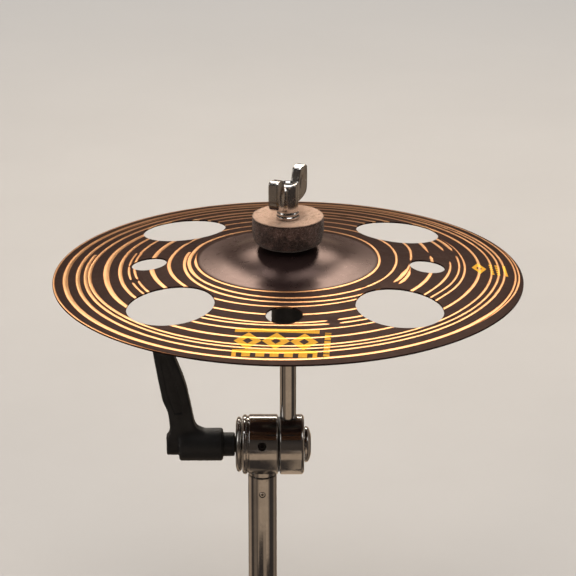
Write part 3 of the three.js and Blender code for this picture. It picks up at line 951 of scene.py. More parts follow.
def lozenge(across, v, centre, half_width, half_height, hole, soft):
    """a lozenge with an open centre"""
    size = across / half_width + abs(v - centre) / half_height
    return below_zero(size - 1.0, soft) * (1.0 - below_zero(size - hole, soft))


def front_mark(u, v):
    """three wide lozenges between two bars, and a comb of short bars beyond"""
    wide = (-21.5, 21.5)
    shapes = lozenge(repeat(u, 14.3), v, centre=102.6, half_width=7.1, half_height=8.6,
                     hole=0.36, soft=0.03)
    shapes = shapes * box_mask(u, v, wide, out=(92, 113))
    inner_bar = box_mask(u, v, wide, out=(90.0, 93.6))
    outer_bar = box_mask(u, v, wide, out=(111.6, 114.6))
    comb = below_zero(repeat(u, 7.15) - 2.2) * box_mask(u, v, wide, out=(114.4, 118.8))
    return larger(larger(shapes, inner_bar), larger(outer_bar, comb))


def column_mark(u, v):
    """a column of small blocks beside the front mark"""
    blocks = larger(abs(u - 26.0) - 1.55, repeat(v, 3.4) - 1.15)
    return below_zero(blocks) * box_mask(u, v, across=(24, 28), out=(92.3, 118.3))


def right_mark(u, v):
    """one lozenge, two dashed lines and a bar"""
    wide = (-8.3, 8.3)
    shape = lozenge(abs(u), v, centre=103.6, half_width=8.2, half_height=4.0,
                    hole=0.4, soft=0.04)
    rows = larger(box_mask(u, v, wide, out=(109.6, 111.2)),
                  box_mask(u, v, wide, out=(112.8, 114.4)))
    dashes = below_zero(repeat(u, 3.3) - 1.15) * rows
    return larger(shape, larger(dashes, box_mask(u, v, wide, out=(117.2, 118.6))))


def cymbal_material():
    material = new_material("cymbal_bronze_lathed")
    place = position(material)
    x, y, _ = split(place)
    radius = from_axis(x, y)
    angle = calc("ARCTAN2", y, x) * (180 / math.pi)
    turn = (angle - CUT_START) % 360.0 / 360.0
    cosine, sine = x / radius, y / radius

    def turned_noise(round_scale, radial_scale, detail, rough):
        vector = combine(cosine * round_scale, sine * round_scale, radius * radial_scale)
        return noise(vector, scale=1.0, detail=detail, rough=rough)

    def mark(angle, draw):
        c, s = math.cos(math.radians(angle)), math.sin(math.radians(angle))
        return draw(y * c - x * s, x * c + y * s)

    # slow waver of the cuts, and their ragged edges
    waver = turned_noise(round_scale=3.2, radial_scale=0.16, detail=3, rough=0.55)
    ragged = turned_noise(round_scale=26, radial_scale=2.2, detail=2, rough=0.6)
    slack = (waver - 0.5) * 1.0 + (ragged - 0.5) * 0.28
    cut = cut_mask(turn, radius, slack, attribute(material, "dent"))
    # tool lines inside the cuts, and turned lines under the dark finish
    tool = turned_noise(round_scale=0.9, radial_scale=5.5, detail=3, rough=0.7)
    lines = turned_noise(round_scale=2.5, radial_scale=1.4, detail=4, rough=0.65)
    cloud = noise(place, scale=0.035, detail=5, rough=0.6, distort=0.5)
    mottle = noise(place, scale=0.22, detail=6, rough=0.68, distort=0.7)
    speck = remap(cells(stretch(place, (1, 1, 1)), scale=0.55), (0.0, 0.16), to=(1.0, 0.0))
    bell = remap(radius, (46.5, 48.8), to=(1.0, 0.0), smooth=True)

    # plum-brown finish, paler on the bell
    dark = mix(remap(cloud, (0.35, 0.68)), (0.0125, 0.0070, 0.0060), (0.0215, 0.0120, 0.0100))
    dark = mix(remap(mottle, (0.5, 0.74), to=(0, 0.6)), dark, over=(0.032, 0.0165, 0.0120))
    dark = mix(remap(lines, (0.58, 0.7)) * 0.26, dark, over=(0.075, 0.036, 0.019))
    on_bell = mix(remap(cloud, (0.35, 0.68)), (0.027, 0.0155, 0.0145), (0.039, 0.0225, 0.0210))
    on_bell = mix(remap(mottle, (0.5, 0.74), to=(0, 0.12)), on_bell, over=(0.028, 0.0155, 0.0140))
    dark = mix(bell, dark, on_bell)
    dark = mix(speck * (0.25 - bell * 0.18), dark, over=(0.008, 0.005, 0.004))

    bronze = mix(remap(tool, (0.35, 0.7)), (0.44, 0.238, 0.112), (0.56, 0.335, 0.180))
    bronze = mix(remap(cloud, (0.42, 0.7), to=(0, 0.55)), bronze, over=(0.41, 0.200, 0.090))
    bronze = mix(remap(mottle, (0.6, 0.8), to=(0, 0.5)), bronze, over=(0.29, 0.135, 0.066))
    # the underside is duller than the top
    topside = attribute(material, "topside")
    bronze = mix(topside, mix(0.60, (0.085, 0.040, 0.018), bronze), bronze)
    # a darker, redder rind at both edges of a cut
    rind = cut * (1.0 - cut) * 4.0
    colour = mix(cut, dark, bronze)
    colour = mix(rind * 0.75, colour, over=(0.26, 0.088, 0.024))

    gold = larger(larger(mark(-93.4, front_mark), mark(-93.4, column_mark)),
                  mark(2.5, right_mark))
    worn = remap(noise(place, scale=1.6, detail=5, rough=0.7), (0.30, 0.42), to=(0.5, 1.0))
    gold = gold * worn * attribute(material, "topside") * 0.88
    colour = mix(gold, colour, mix(cut, (0.78, 0.385, 0.030), (0.98, 0.54, 0.065)))

    dark_rough = (remap(mottle, (0.3, 0.75), to=(0.38, 0.52)) * (1.0 - bell)
                  + remap(mottle, (0.3, 0.75), to=(0.265, 0.31)) * bell)
    cut_rough = remap(tool, (0.3, 0.7), to=(0.28, 0.42))
    calm = 1.0 - bell * 0.8
    normal = bump(tool * calm, strength=0.22, depth=0.03)
    normal = bump(lines * calm, strength=0.16, depth=0.05, under=normal)
    normal = bump(noise(place, scale=0.11, detail=2) * calm, strength=0.30, depth=0.16,
                  under=normal)
    reflection = mix(cut, (0.80, 0.50, 0.41), (1.0, 0.86, 0.74))
    return finish(
        material, base=colour, metal=larger(cut, bell * 0.32 + 0.20) - gold * 0.45,
        rough=(1.0 - cut) * dark_rough + cut * cut_rough + gold * 0.10,
        normal=normal, aniso=cut * 0.45 + 0.25,
        tangent=node("Tangent", {}, owner=material, direction_type="RADIAL", axis="Z"),
        spec=bell * 0.32 + 0.03, tint=mix(bell, reflection, (1.0, 0.78, 0.72)))


own(build_cymbal(), cymbal_material(), "cymbal_plate", "cymbal")


# ======================================================================== felts
FELT_BORE = 5.6
FELT_CLEAR_R = 7.2        # inside this radius the surface stays smooth
WASHER_LOW, WASHER_HIGH = span("nut_washer")


def value_noise(points, scale, seed):
    """smooth seeded 3-D noise, -1..1"""
    scaled = np.asarray(points) * scale
    cell = np.floor(scaled).astype(np.int64)
    part = scaled - cell
    part = part * part * (3 - 2 * part)

    def corner_value(ix, iy, iz):
        mixed = ix * 374761393 + iy * 668265263 + iz * 2147483647 + seed * 1274126177
        mixed = mixed & 0xFFFFFFFF
        mixed = ((mixed ^ (mixed >> 13)) * 1274126177) & 0xFFFFFFFF
        return ((mixed ^ (mixed >> 16)) & 0xFFFF) / 32767.5 - 1

    out = 0
    for corner in np.ndindex(2, 2, 2):
        weight = 1
        for axis, far in enumerate(corner):
            weight = weight * (part[..., axis] if far else 1 - part[..., axis])
        out = out + weight * corner_value(*(cell[..., k] + corner[k] for k in range(3)))
    return out


def vertex_values(mesh, name):
    values = np.zeros(len(mesh.vertices) * 3)
    mesh.vertices.foreach_get(name, values)
    return values.reshape(-1, 3)


def work_surface(mesh, seed):
    """makes the felt's surface uneven; returns the moved points"""
    points, normals = vertex_values(mesh, "co") / MM, vertex_values(mesh, "normal")
    push = (0.16 * value_noise(points, 0.22, seed) + 0.13 * value_noise(points, 0.75, seed + 1)
            + 0.10 * value_noise(points * [1, 1, 2.2], 1.7, seed + 2)) - 0.06
    facing = normals[:, 2]
    push = np.where(np.hypot(points[:, 0], points[:, 1]) < FELT_CLEAR_R, 0.0, push)
    push = np.where(facing < -0.5, np.minimum(push, 0.0) * 0.3, push)
    push = np.where(facing > 0.8, np.minimum(push, 0.05) * 0.7, push)
    # faces that look steeply down already have a push of 0 or less
    push = np.where((np.abs(facing) > 0.8) & (facing >= -0.5),
                    push, push)
    points = points + normals * push[:, None]
    mesh.vertices.foreach_set("co", (points * MM).ravel())
    mesh.update()
    return points


def fibre_mesh(name, mesh, points, seed, count):
    """short loose fibres: thin closed tubes lying on the felt"""
    rng = np.random.default_rng(seed)
    mesh.calc_loop_triangles()
    triangles = np.array([t.vertices[:] for t in mesh.loop_triangles])
    a, b, c = (points[triangles[:, k]] for k in range(3))
    normals = np.cross(b - a, c - a)
    area = np.linalg.norm(normals, axis=1)
    normals /= area[:, None] + 1e-12
    centres = (a + b + c) / 3
    radius = np.hypot(centres[:, 0], centres[:, 1])
    allowed = (radius > FELT_CLEAR_R + 1.5) & (normals[:, 2] > -0.6)
    allowed &= ~((normals[:, 2] > 0.6) & (radius < 8.6))
    weights = np.where(allowed, area, 0)
    steps, around = 5, 4
    tube_points, faces = [], []
    for k in rng.choice(len(triangles), size=count, p=weights / weights.sum()):
        normal = normals[k]
        along = rng.normal(size=3)
        along -= normal * (along @ normal)
        along /= np.linalg.norm(along)
        side = np.cross(normal, along)
        length = rng.uniform(0.9, 2.6)
        bend = rng.uniform(-0.9, 0.9)
        lift = rng.uniform(0.05, 0.38)
        thick = rng.uniform(0.035, 0.06)
        line = []
        for i in range(steps + 1):
            u = i / steps
            line.append(centres[k] + along * length * (u - 0.5)
                        + side * bend * (u - 0.5) ** 2 * length
                        + normal * (lift * math.sin(math.pi * u) - 0.05))
        faces += tube_faces(len(tube_points), steps + 1, around)
        for i, here in enumerate(line):
            heading = line[min(i + 1, steps)] - line[max(i - 1, 0)]
            heading /= np.linalg.norm(heading)
            across = np.cross(heading, normal)
            across /= np.linalg.norm(across) + 1e-9
            up = np.cross(heading, across)
            r = thick * (0.5 if i in (0, steps) else 1.0)
            for j in range(around):
                t = math.pi / 2 * j
                tube_points.append(here + r * (math.cos(t) * across + math.sin(t) * up))
    return new_mesh(name, tube_points, [faces])


def felt(name, profile, seed, fibres):
    """a turned felt with a worked surface and loose fibres"""
    corners = np.array(rounded(profile, 0.7, 4))
    rows = []
    for a, b in zip(corners, np.roll(corners, -1, axis=0)):
        count = max(1, int(np.ceil(np.linalg.norm(b - a) / 0.55)))
        rows += [tuple(a + (b - a) * i / count) for i in range(count)]
    made = turned(name, rows, seg=220, angle=None)
    mesh = made.data
    points = work_surface(mesh, seed)
    loose = fibre_mesh(name + "_fibres", mesh, points, seed, fibres)
    work = bmesh.new()
    work.from_mesh(mesh)
    work.from_mesh(loose.data)
    work.to_mesh(mesh)
    work.free()
    bpy.data.objects.remove(loose)
    mesh.shade_smooth()
    rest_attribute(mesh, vertex_values(mesh, "co") / MM)
    float_attribute(mesh, "loose", np.arange(len(mesh.vertices)) >= len(points))
    return made


def felt_material(name, top_z, dark=(0.050, 0.027, 0.021)):
    """light above top_z, darker on the sides: the felt's cut edge is browner, and the default dark
    side colour adds painted shade
    """
    light = (0.53, 0.345, 0.245)
    material = new_material(name)
    place = position(material, rest=True)
    x, y, z = split(place)
    radius = from_axis(x, y)
    big = noise(place, scale=0.16, detail=5, rough=0.6, distort=0.4)
    middling = noise(stretch(place, (1, 1, 1.6)), scale=0.75, detail=6, rough=0.72, distort=1.2)
    fibre = noise(stretch(place, (2.6, 2.6, 6.0)), scale=1.5, detail=5, rough=0.75, distort=2.2)
    strand = noise(stretch(place, (6.0, 1.5, 3.0)), scale=1.1, detail=5, rough=0.75, distort=1.6)
    blot = noise(stretch(place, (0.62, 0.62, 0.95)), scale=1.0, detail=5, rough=0.72, distort=0.8)
    pores = cells(place, scale=1.25)
    upper = remap(z + (middling - 0.5) * 0.9, (top_z - 0.85, top_z - 0.3), smooth=True)
    upper = larger(upper, remap(radius, (14.0, 12.0)) * remap(z, (top_z - 4.0, top_z - 3.0)))
    seam = calc("MULTIPLY_ADD", abs(z + (big - 0.5) * 0.8 - (top_z - 1.25)), -1 / 0.55, 1.0,
                clamp=True)
    # side colour: the cut edge's own mottling and blotches over the dark colour, which at its
    # default is painted shade
    side = mix(remap(middling, (0.35, 0.68)), dark, shade(dark, 1.95))
    side = mix(remap(fibre, (0.52, 0.66), to=(0, 0.80)), side, over=(0.29, 0.165, 0.130))
    side = mix(remap(blot, (0.51, 0.60)) * 0.55, side, over=(0.34, 0.200, 0.160))
    side = mix(remap(big, (0.46, 0.58)) * 0.70, side, over=(0.020, 0.011, 0.009))
    side = mix(seam * 0.75, side, over=(0.016, 0.009, 0.007))
    side = mix(remap(pores, (0.0, 0.24), to=(1, 0)) * 0.65, side, over=(0.020, 0.012, 0.009))
    top = mix(remap(middling, (0.3, 0.72)), light, shade(light, 1.32))
    top = mix(remap(strand, (0.55, 0.72), to=(0, 0.7)), top, over=(0.66, 0.48, 0.35))
    top = mix(remap(big, (0.5, 0.72)) * 0.4, top, over=(0.27, 0.165, 0.105))
    # painted shade: a darker ring in the dip round the nut's collar
    top = mix(remap(radius, (8.6, 6.9), to=(0, 0.30)), top, over=(0.17, 0.105, 0.07))
    colour = mix(upper, side, top)
    # loose fibres: paler on the top, darker on the sides, following the painted shade there
    colour = mix(attribute(material, "loose") * 0.55, colour,
                 mix(upper, (0.24, 0.155, 0.115), (0.60, 0.44, 0.32)))
    normal = bump(middling, strength=0.55, depth=0.35)
    normal = bump(fibre, strength=0.6, depth=0.22, under=normal)
    normal = bump(strand, strength=0.5, depth=0.18, under=normal)
    normal = bump(pores, strength=0.35, depth=0.2, under=normal)
    return finish(material, base=colour, rough=remap(middling, (0.3, 0.7), to=(0.86, 0.98)),
                  normal=normal, sheen=0.35, sheen_rough=0.45, sheen_tint=(0.95, 0.85, 0.75),
                  spec=0.2)


# Profiles here and below hold (radius, height, corner radius) unless a comment says otherwise.
low, high = span("upper_felt")
rest_z = WASHER_LOW - 0.12            # where the nut's collar bears
upper_felt = felt("felt_upper", [
    (FELT_BORE + 0.7, low + 0.02, 0.3), (14.6, low + 0.02, 1.6), (17.5, low + 1.6, 2),
    (18.8, low + 4.0, 2.5), (19.2, low + 8, 2), (19.15, high - 1.9, 0.5),
    (18.9, high - 1.3, 0.4), (19.05, high - 0.7, 0.3), (18.75, high - 0.12, 0.35),
    (14, high - 0.02, 2), (10.5, high - 0.45, 2), (7.4, rest_z, 0.6), (FELT_BORE, rest_z, 0.3),
    (FELT_BORE, WASHER_LOW - 1.0, 0.6), (FELT_BORE + 1.15, WASHER_LOW - 3.4, 1.5),
    (FELT_BORE + 1.15, low + 4.0, 2), (FELT_BORE + 0.7, low + 1.2, 0.5)], seed=11, fibres=1500)
# the upper felt keeps the default dark side colour, which is painted shade
stretch_between(upper_felt, felt_material("felt_tan_upper", high),
                (0, 0, high), (0, 0, low), "upper_felt")


def under_plate(radius):
    """just below the cymbal's underside"""
    return float(APEX - SHEET - drop(max(radius, BORE_R)) - 0.16)


LOWER_FELT_LOW, high = span("lower_felt")
low = LOWER_FELT_LOW
lower_felt = felt("felt_lower", [
    (FELT_BORE, low + 0.02, 0.3), (13.1, low + 0.02, 0.9), (13.95, low + 1.2, 0.9),
    (14.0, low + 6, 1), (13.95, under_plate(14.0) - 1.1, 0.9),
    (13.0, under_plate(14.0) - 0.12, 0.9), (10, under_plate(10.4) - 0.06, 1),
    (FELT_BORE + 0.7, under_plate(7) - 0.05, 0.3), (FELT_BORE + 0.7, under_plate(7) - 1.2, 0.5),
    (FELT_BORE + 1.15, high - 5.0, 1.5), (FELT_BORE + 1.15, low + 3.6, 1.5),
    (FELT_BORE, low + 1.0, 0.5)], seed=23, fibres=700)
# top_z far above the felt: all of it takes the side colour
stretch_between(lower_felt, felt_material("felt_tan_lower", 999, dark=(0.20, 0.145, 0.105)),
                (0, 0, low), (0, 0, high - 0.3), "lower_felt")

# =========================================================== rod, seat, washers
CHROME_Z = chrome("chrome_bright", rough=0.075)
CHROME_X = chrome("chrome_drums", rough=0.085, axis="X")
STEEL_X = steel("steel_dark_x", base=(0.20, 0.19, 0.185), axis="X")
STEEL_Z = steel("steel_bright_z", base=(0.50, 0.485, 0.47), rough=0.25)
NYLON = nylon("nylon_black_moulded")

SHOULDER_Z = 256.0                    # the rod narrows to its thread here
ROD_STEP_Z = AXIS + 15.6              # and widens here, above the drum
THREAD_CORE, THREAD_CREST = 2.50, 2.97

low, high = span("cymbal_rod")
ROD_SEG = 56
rows = [(0, low), (3.0, low), (3.4, low + 0.4), (3.5, low + 0.6), (3.5, ROD_STEP_Z - 0.2),
        (3.7, ROD_STEP_Z), (4.25, ROD_STEP_Z), (4.45, ROD_STEP_Z + 0.1), (4.5, ROD_STEP_Z + 0.3)]
rows += [(4.5, z) for z in np.linspace(ROD_STEP_Z + 2, SHOULDER_Z - 1.2, 12)]
rows += [(4.5, SHOULDER_Z - 0.5), (4.42, SHOULDER_Z - 0.2), (4.2, SHOULDER_Z),
         (3.0, SHOULDER_Z), (2.72, SHOULDER_Z + 0.25), (2.6, SHOULDER_Z + 0.8),
         (2.6, SHOULDER_Z + 2.0)]
rows += thread_rows(SHOULDER_Z + 2.6, high - 0.9, THREAD_CORE, THREAD_CREST, ROD_SEG, fade=0.8)
rows += [(2.55, high - 0.45), (2.2, high - 0.12), (1.9, high), (1.0, high), (0, high - 0.06)]
own(turned("rod_threaded_top", rows, seg=ROD_SEG, closed=False, angle=38),
    CHROME_Z, "tilt_head", "cymbal_rod")

low, high = span("seat_bush")
seat = turned("seat_bush_nylon", [
    (4.8, low, .2), (8.2, low, .5), (9.0, low + 0.8, .4), (9.0, low + 6.5, .15),
    (8.72, low + 6.8, .1), (8.72, low + 7.6, .1), (9.0, low + 7.9, .15), (9.0, high - 4.3, .8),
    (12.5, high - 3.0, .8), (13.0, high - 2.3, .4), (13.0, high - 0.4, .3), (12.6, high, .3),
    (3.35, high, .15), (3.35, SHOULDER_Z + 0.1, 0), (4.8, SHOULDER_Z + 0.1, 0)],
    seg=112, corner=(.2, 3))
own(seat, nylon("nylon_black_seat", base=(0.0085, 0.008, 0.008), rough=0.5, grain=0.3),
    "tilt_head", "seat_bush")

low, high = span("cup_washer")
cup = turned("cup_washer_pressed", [
    (5.5, low, .15), (13.6, low, .5), (14.95, low + 0.9, .6), (15.0, high, .25),
    (14.4, high, .25), (14.25, LOWER_FELT_LOW - 0.45, .2), (13.7, LOWER_FELT_LOW - 0.12, .15),
    (5.5, LOWER_FELT_LOW - 0.12, .15)], seg=112, corner=(.15, 3))
own(cup, CHROME_Z, "tilt_head", "cup_washer")

low, high = span("post_sleeve")
sleeve = turned("sleeve_nylon", [
    (3.42, low, .1), (5.15, low, .2), (5.2, high - 0.7, .3), (4.7, high, .25),
    (3.42, high, .15)], seg=72, corner=(.2, 3))
own(sleeve, NYLON, "tilt_head", "post_sleeve")

# ==================================================================== wing nut
low, high = WASHER_LOW, WASHER_HIGH
collar = turned("nut_collar", [
    (3.5, low, .1), (5.95, low, .25), (6.3, low + 0.5, .35), (6.3, high - 0.5, .35),
    (5.8, high, .2), (3.5, high, .15)], corner=(.2, 4))
own(collar, CHROME_Z, "nut_foot", "nut_washer")

WING_OUT = 19.2                       # reach from the axis
WING_TURN = math.radians(65.5)
# (radius, height); the points below 0 close the outline beyond the axis
BARREL = [
    (0, NUT_FOOT), (3, NUT_FOOT), (5.4, NUT_FOOT), (5.95, NUT_FOOT + 0.5),
    (5.95, NUT_FOOT + 1.3), (5.45, NUT_FOOT + 2.1), (5.5, NUT_FOOT + 4), (5.55, NUT_FOOT + 9),
    (5.5, BARREL_TOP - 1.1), (5.2, BARREL_TOP - 0.4), (4.5, BARREL_TOP), (3, BARREL_TOP),
    (0, BARREL_TOP), (-3, BARREL_TOP), (-3, NUT_FOOT)]
# (distance from the axis, height)
WING = [
    (2, NUT_FOOT + 3.0), (6.5, NUT_FOOT + 4.0), (11.5, NUT_FOOT + 5.1), (15.0, NUT_FOOT + 6.2),
    (17.7, NUT_FOOT + 7.6), (WING_OUT - 0.45, NUT_FOOT + 9.6), (WING_OUT, NUT_FOOT + 13),
    (WING_OUT, WING_TOP - 2.6), (WING_OUT - 0.6, WING_TOP - 0.7), (WING_OUT - 2.4, WING_TOP),
    (14.0, WING_TOP - 0.15), (11.6, WING_TOP - 0.6), (10.2, WING_TOP - 2.2),
    (8.6, BARREL_TOP - 1.3), (6.5, BARREL_TOP - 2.2), (2, BARREL_TOP - 3.2)]


def nut_distance(x, y, z):
    c, s = math.cos(WING_TURN), math.sin(WING_TURN)
    along, across = np.abs(x * c + y * s), np.abs(-x * s + y * c)
    barrel = outline_distance(np.hypot(x, y), z, smooth_closed(BARREL, 3))
    half_thick = 2.15 + 0.75 * smooth01((along - 6) / 9)
    wing = plate_distance(outline_distance(along, z, smooth_closed(WING, 4)),
                          across - half_thick, 0.75)
    # a shallow finger hollow in each broad face
    hollow = np.sqrt((along - 13.2) ** 2 + ((z - (NUT_FOOT + 14.2)) * 0.62) ** 2
                     + (across - half_thick - 5.6) ** 2) - 6.15
    return smooth_min(barrel, smooth_max(wing, -hollow, 0.8), 1.6)


nut = sdf_mesh("wing_nut_cast", nut_distance, (-12.6, -20.6, NUT_FOOT - 1),
               (12.6, 20.6, WING_TOP + 1), voxel=0.24)
relax(nut, 3)
for vertex in nut.data.vertices:      # flat foot, level with the CAD's
    vertex.co.z = max(vertex.co.z, NUT_FOOT * MM)
bore_rows = [(0, NUT_FOOT - 3), (3.3, NUT_FOOT - 3)]
bore_rows += thread_rows(NUT_FOOT - 2, BARREL_TOP - 1.0, 3.06, 3.36, 48, fade=0, phase=0.5)
bore_rows += [(3.4, BARREL_TOP - 0.8), (4.1, BARREL_TOP + 0.05), (4.1, BARREL_TOP + 12),
              (0, BARREL_TOP + 12)]
boolean(nut, [turned("bore", bore_rows, seg=48, closed=False)])
sharpen(nut, 50)
own(nut, chrome("chrome_cast_wing", base=(0.62, 0.60, 0.58), rough=0.10),
    "nut", "wing_nut")


# ==================================================================== tilter
# Profiles about the clamp axis hold (radius, x, corner radius).
def set_screw(name, start, end, socket_start, socket_end):
    made = rod(name, 2.0, start, end, flare_end=-0.3)
    boolean(made, [hex_cutter(2.0, socket_start, socket_end)])
    sharpen(made, 30)
    return made


DRUM_BORE = 4.35
SCREW_R = 2.35
ROD_SCREW_Z = AXIS + 12.9

low, high = span("tilter_head", "x")
head = turned("drum_rod_side", [
    (DRUM_BORE, low, .3), (DRUM_R - 0.5, low, .5), (DRUM_R, low + 0.6, .4),
    (DRUM_R, high - 1.5, .6), (DRUM_R - 0.5, high - 0.6, .5), (DRUM_R - 1.6, high, .4),
    (11.0, high, .1), (10.8, high - 0.05, .1), (DRUM_BORE, high - 0.05, .3)],
    seg=144, corner=(.3, 4), axis="X")
boolean(head, [
    drill(3.85, (0, 0, AXIS + 5.5), (0, 0, AXIS + 22)),
    drill(5.15, (0, 0, ROD_STEP_Z - 0.1), (0, 0, AXIS + 20)),
    drill(SCREW_R, (2, 0, ROD_SCREW_Z), (high + 0.3, 0, ROD_SCREW_Z), flare=0.6)])
sharpen(head, 32)
own(head, CHROME_X, "tilt_head", "tilter_head")

own(set_screw("set_screw_rod", *((x, 0, ROD_SCREW_Z) for x in (3.9, 8.5, 6.4, 9.6))),
    STEEL_X, "tilt_head", "rod_set_screw")

low, high = span("tilter_base", "x")
base = turned("drum_tube_side", [
    (DRUM_BORE, low, .3), (DRUM_R - 1.2, low, .5), (DRUM_R - 0.2, low + 0.8, .5),
    (DRUM_R - 0.1, -23.3, .4), (DRUM_R - 0.85, -22.5, .25), (DRUM_R - 0.85, -21.9, .2),
    (DRUM_R, -21.2, .35), (DRUM_R, high - 0.7, .4), (DRUM_R - 0.6, high, .35),
    (DRUM_BORE, high, .3)], seg=144, corner=(.3, 4), axis="X")
neck = turned("neck", [
    (0, TUBE_TOP + 0.3, 0), (7.3, TUBE_TOP + 0.3, .3), (7.7, TUBE_TOP + 0.7, .2),
    (7.7, AXIS - 10, 0), (0, AXIS - 10, 0)], seg=72, corner=(.2, 3), closed=False, at_x=TUBE_X)
foot = span("tilter_base")[0]
spigot = turned("spigot", [
    (0, foot), (5.6, foot), (6.2, foot + 0.6), (6.2, AXIS - 9.5), (0, AXIS - 9.5)],
    seg=64, closed=False, at_x=TUBE_X)
boolean(base, [neck, spigot], "UNION")

# the drum's set screw comes in from the front, tilted up
SCREW_TILT = math.radians(18.5)
SCREW_LINE = np.array([0, -math.cos(SCREW_TILT), math.sin(SCREW_TILT)])


def on_screw_line(radius):
    return np.array([-14.2, 0, AXIS]) + SCREW_LINE * radius


def pin_drill(seg):
    return drill(1.8, (TUBE_X, -10, PIN_Z), (TUBE_X, 10, PIN_Z), seg=seg)


boolean(base, [
    drill(DRUM_BORE, (low + 0.5, 0, AXIS), (high - 0.2, 0, AXIS)),
    drill(SCREW_R, on_screw_line(1), on_screw_line(DRUM_R + 0.2), flare=0.45),
    pin_drill(seg=48)])
sharpen(base, 32)
own(base, CHROME_X, "stand", "tilter_base")

own(set_screw("set_screw_drum", *(on_screw_line(r) for r in (4.4, 15.8, 13.4, 16.9))),
    steel("steel_black_oxide", base=(0.055, 0.05, 0.048), rough=0.35, axis="X"),
    "stand", "bolt_set_screw")


def lining_material():
    material = new_material("friction_fibre")
    place = position(material)
    fibre = noise(place, scale=1.8, detail=6, rough=0.7, distort=0.6)
    grain = cells(place, scale=1.1)
    colour = mix(remap(fibre, (0.35, 0.7)), (0.012, 0.010, 0.009), (0.045, 0.034, 0.027))
    return finish(material, base=colour, rough=remap(fibre, (0.3, 0.7), to=(0.65, 0.9)),
                  normal=bump(grain, strength=0.4, depth=0.1))


low, high = span("friction_disc", "x")
lining = turned("friction_lining", [
    (4.4, low, .1), (15.3, low, .2), (15.3, high, .2), (4.4, high, .1)],
    corner=(.1, 2), axis="X")
own(lining, lining_material(), "stand", "friction_disc")

low, high = span("clamp_bolt", "x")
HEAD_X = 9.1                          # the underside of the bolt's head
rows = [(0, low), (2.2, low), (2.5, low + 0.3)]
rows += thread_rows(low + 0.5, -25.6, THREAD_CORE, THREAD_CREST, 64, fade=0.7)
rows += [(2.6, -25.2), (2.6, -24.5), (3.8, -24.5), (4.0, -24.2), (4.0, HEAD_X - 0.02),
         (9.5, HEAD_X), (9.9, HEAD_X + 0.25), (10.0, HEAD_X + 0.8), (9.85, HEAD_X + 1.5),
         (9.3, HEAD_X + 2.15), (8.2, HEAD_X + 2.75), (6.9, high - 0.42), (5.9, high - 0.1),
         (5.3, high), (2.5, high), (2.3, high - 0.12), (2.15, high - 0.35), (2.1, high - 1.15),
         (0, high - 1.2)]
own(turned("clamp_bolt_head", rows, seg=64, axis="X", closed=False, angle=35),
    CHROME_X, "stand", "clamp_bolt")

low, high = span("pressure_washer", "x")
pressure = turned("pressure_ring", [
    (3.4, low, .3), (9.4, low, .2), (9.6, low + 0.12, .1), (12.6, low + 0.02, .6),
    (14.7, low + 0.65, .8), (half_size("pressure_washer"), low + 1.65, 1.2),
    (14.8, high - 0.6, .6), (14.0, high, .35), (3.4, high, .3)],
    seg=128, corner=(.3, 5), axis="X")
own(pressure, chrome("chrome_ring", rough=0.10, axis="X"),
    "clamp_washer", "pressure_washer")

# ---------------------------------------------------------------- stand tube
TUBE_WALL = 1.4
tube = turned("tube_upper", [
    (TUBE_R - TUBE_WALL, 0.0, .25), (TUBE_R, 0.0, .25), (TUBE_R, TUBE_TOP, .35),
    (TUBE_R - TUBE_WALL, TUBE_TOP, .3)], seg=112, corner=(.3, 3), at_x=TUBE_X)
boolean(tube, [pin_drill(seg=40)])
sharpen(tube, 32)
own(tube, CHROME_Z, "stand", "stand_tube")

pin = rod("roll_pin", 1.5, (TUBE_X, -7.75, PIN_Z), (TUBE_X, 7.75, PIN_Z), seg=40,
          flare_start=-0.3, flare_end=-0.3)
boolean(pin, [drill(0.75, (TUBE_X, -8.5, PIN_Z), (TUBE_X, 8.5, PIN_Z), seg=24)])
sharpen(pin, 30)
own(pin, STEEL_Z, "stand", "tube_pin")

# ================================================================ clamp lever
# (x, height above the clamp axis)
LEVER_ARM = [
    (-64.8, 2.5), (-65.0, 10.8), (-65.8, 19.2), (-67.0, 23.4), (-68.8, 27.8), (-69.9, 33.4),
    (-71.1, 40.0), (-72.2, 46.6), (-73.2, 52.8), (-74.0, 58.6), (-73.4, 60.7), (-71.2, 61.6),
    (-66.6, 60.4), (-64.4, 59.0), (-63.1, 56.6), (-61.2, 50.8), (-59.6, 46.6), (-57.3, 40.0),
    (-55.6, 34.3), (-54.7, 29.5), (-53.6, 24.2), (-52.7, 19.2), (-51.7, 14.1), (-50.2, 10.8),
    (-47.6, 8.6), (-46.0, 2.5)]
ARM_HOLLOW = [(-62.5, 20), (-66.6, 31), (-69.8, 50), (-69.6, 55.5), (-66.6, 54.5), (-61.6, 40),
              (-58.6, 28), (-57.6, 20)]
# (radius, x)
LEVER_HUB = [
    (0, -67.0), (5.4, -67.0), (5.9, -66.5), (5.9, -60.6), (6.3, -60.1), (8.3, -60.1),
    (9.1, -59.2), (9.1, -36.9), (8.3, -35.9), (6.9, -35.9), (6.6, -35.6), (6.6, -29.9),
    (6.1, -29.4), (0, -29.4), (-4, -29.4), (-4, -67.0)]


def lever_distance(x, y, z):
    height = z - AXIS
    hub = outline_distance(np.hypot(y, height), x, LEVER_HUB)
    # the arm is thinner towards +X and towards its tip
    middle_x = -58.5 - 0.20 * height
    half_thick = (5.75 - 1.5 * smooth01((x - middle_x) / 7.0)
                  - 0.5 * smooth01((height - 44) / 18))
    side = np.abs(y) - half_thick
    arm = plate_distance(outline_distance(x, height, smooth_closed(LEVER_ARM, 3)), side, 1.7)
    # a long shallow hollow in each broad face
    hollow = np.maximum(outline_distance(x, height, ARM_HOLLOW) + 0.4, -(side + 0.55))
    return smooth_min(hub, smooth_max(arm, -hollow, 0.5), 2.2)


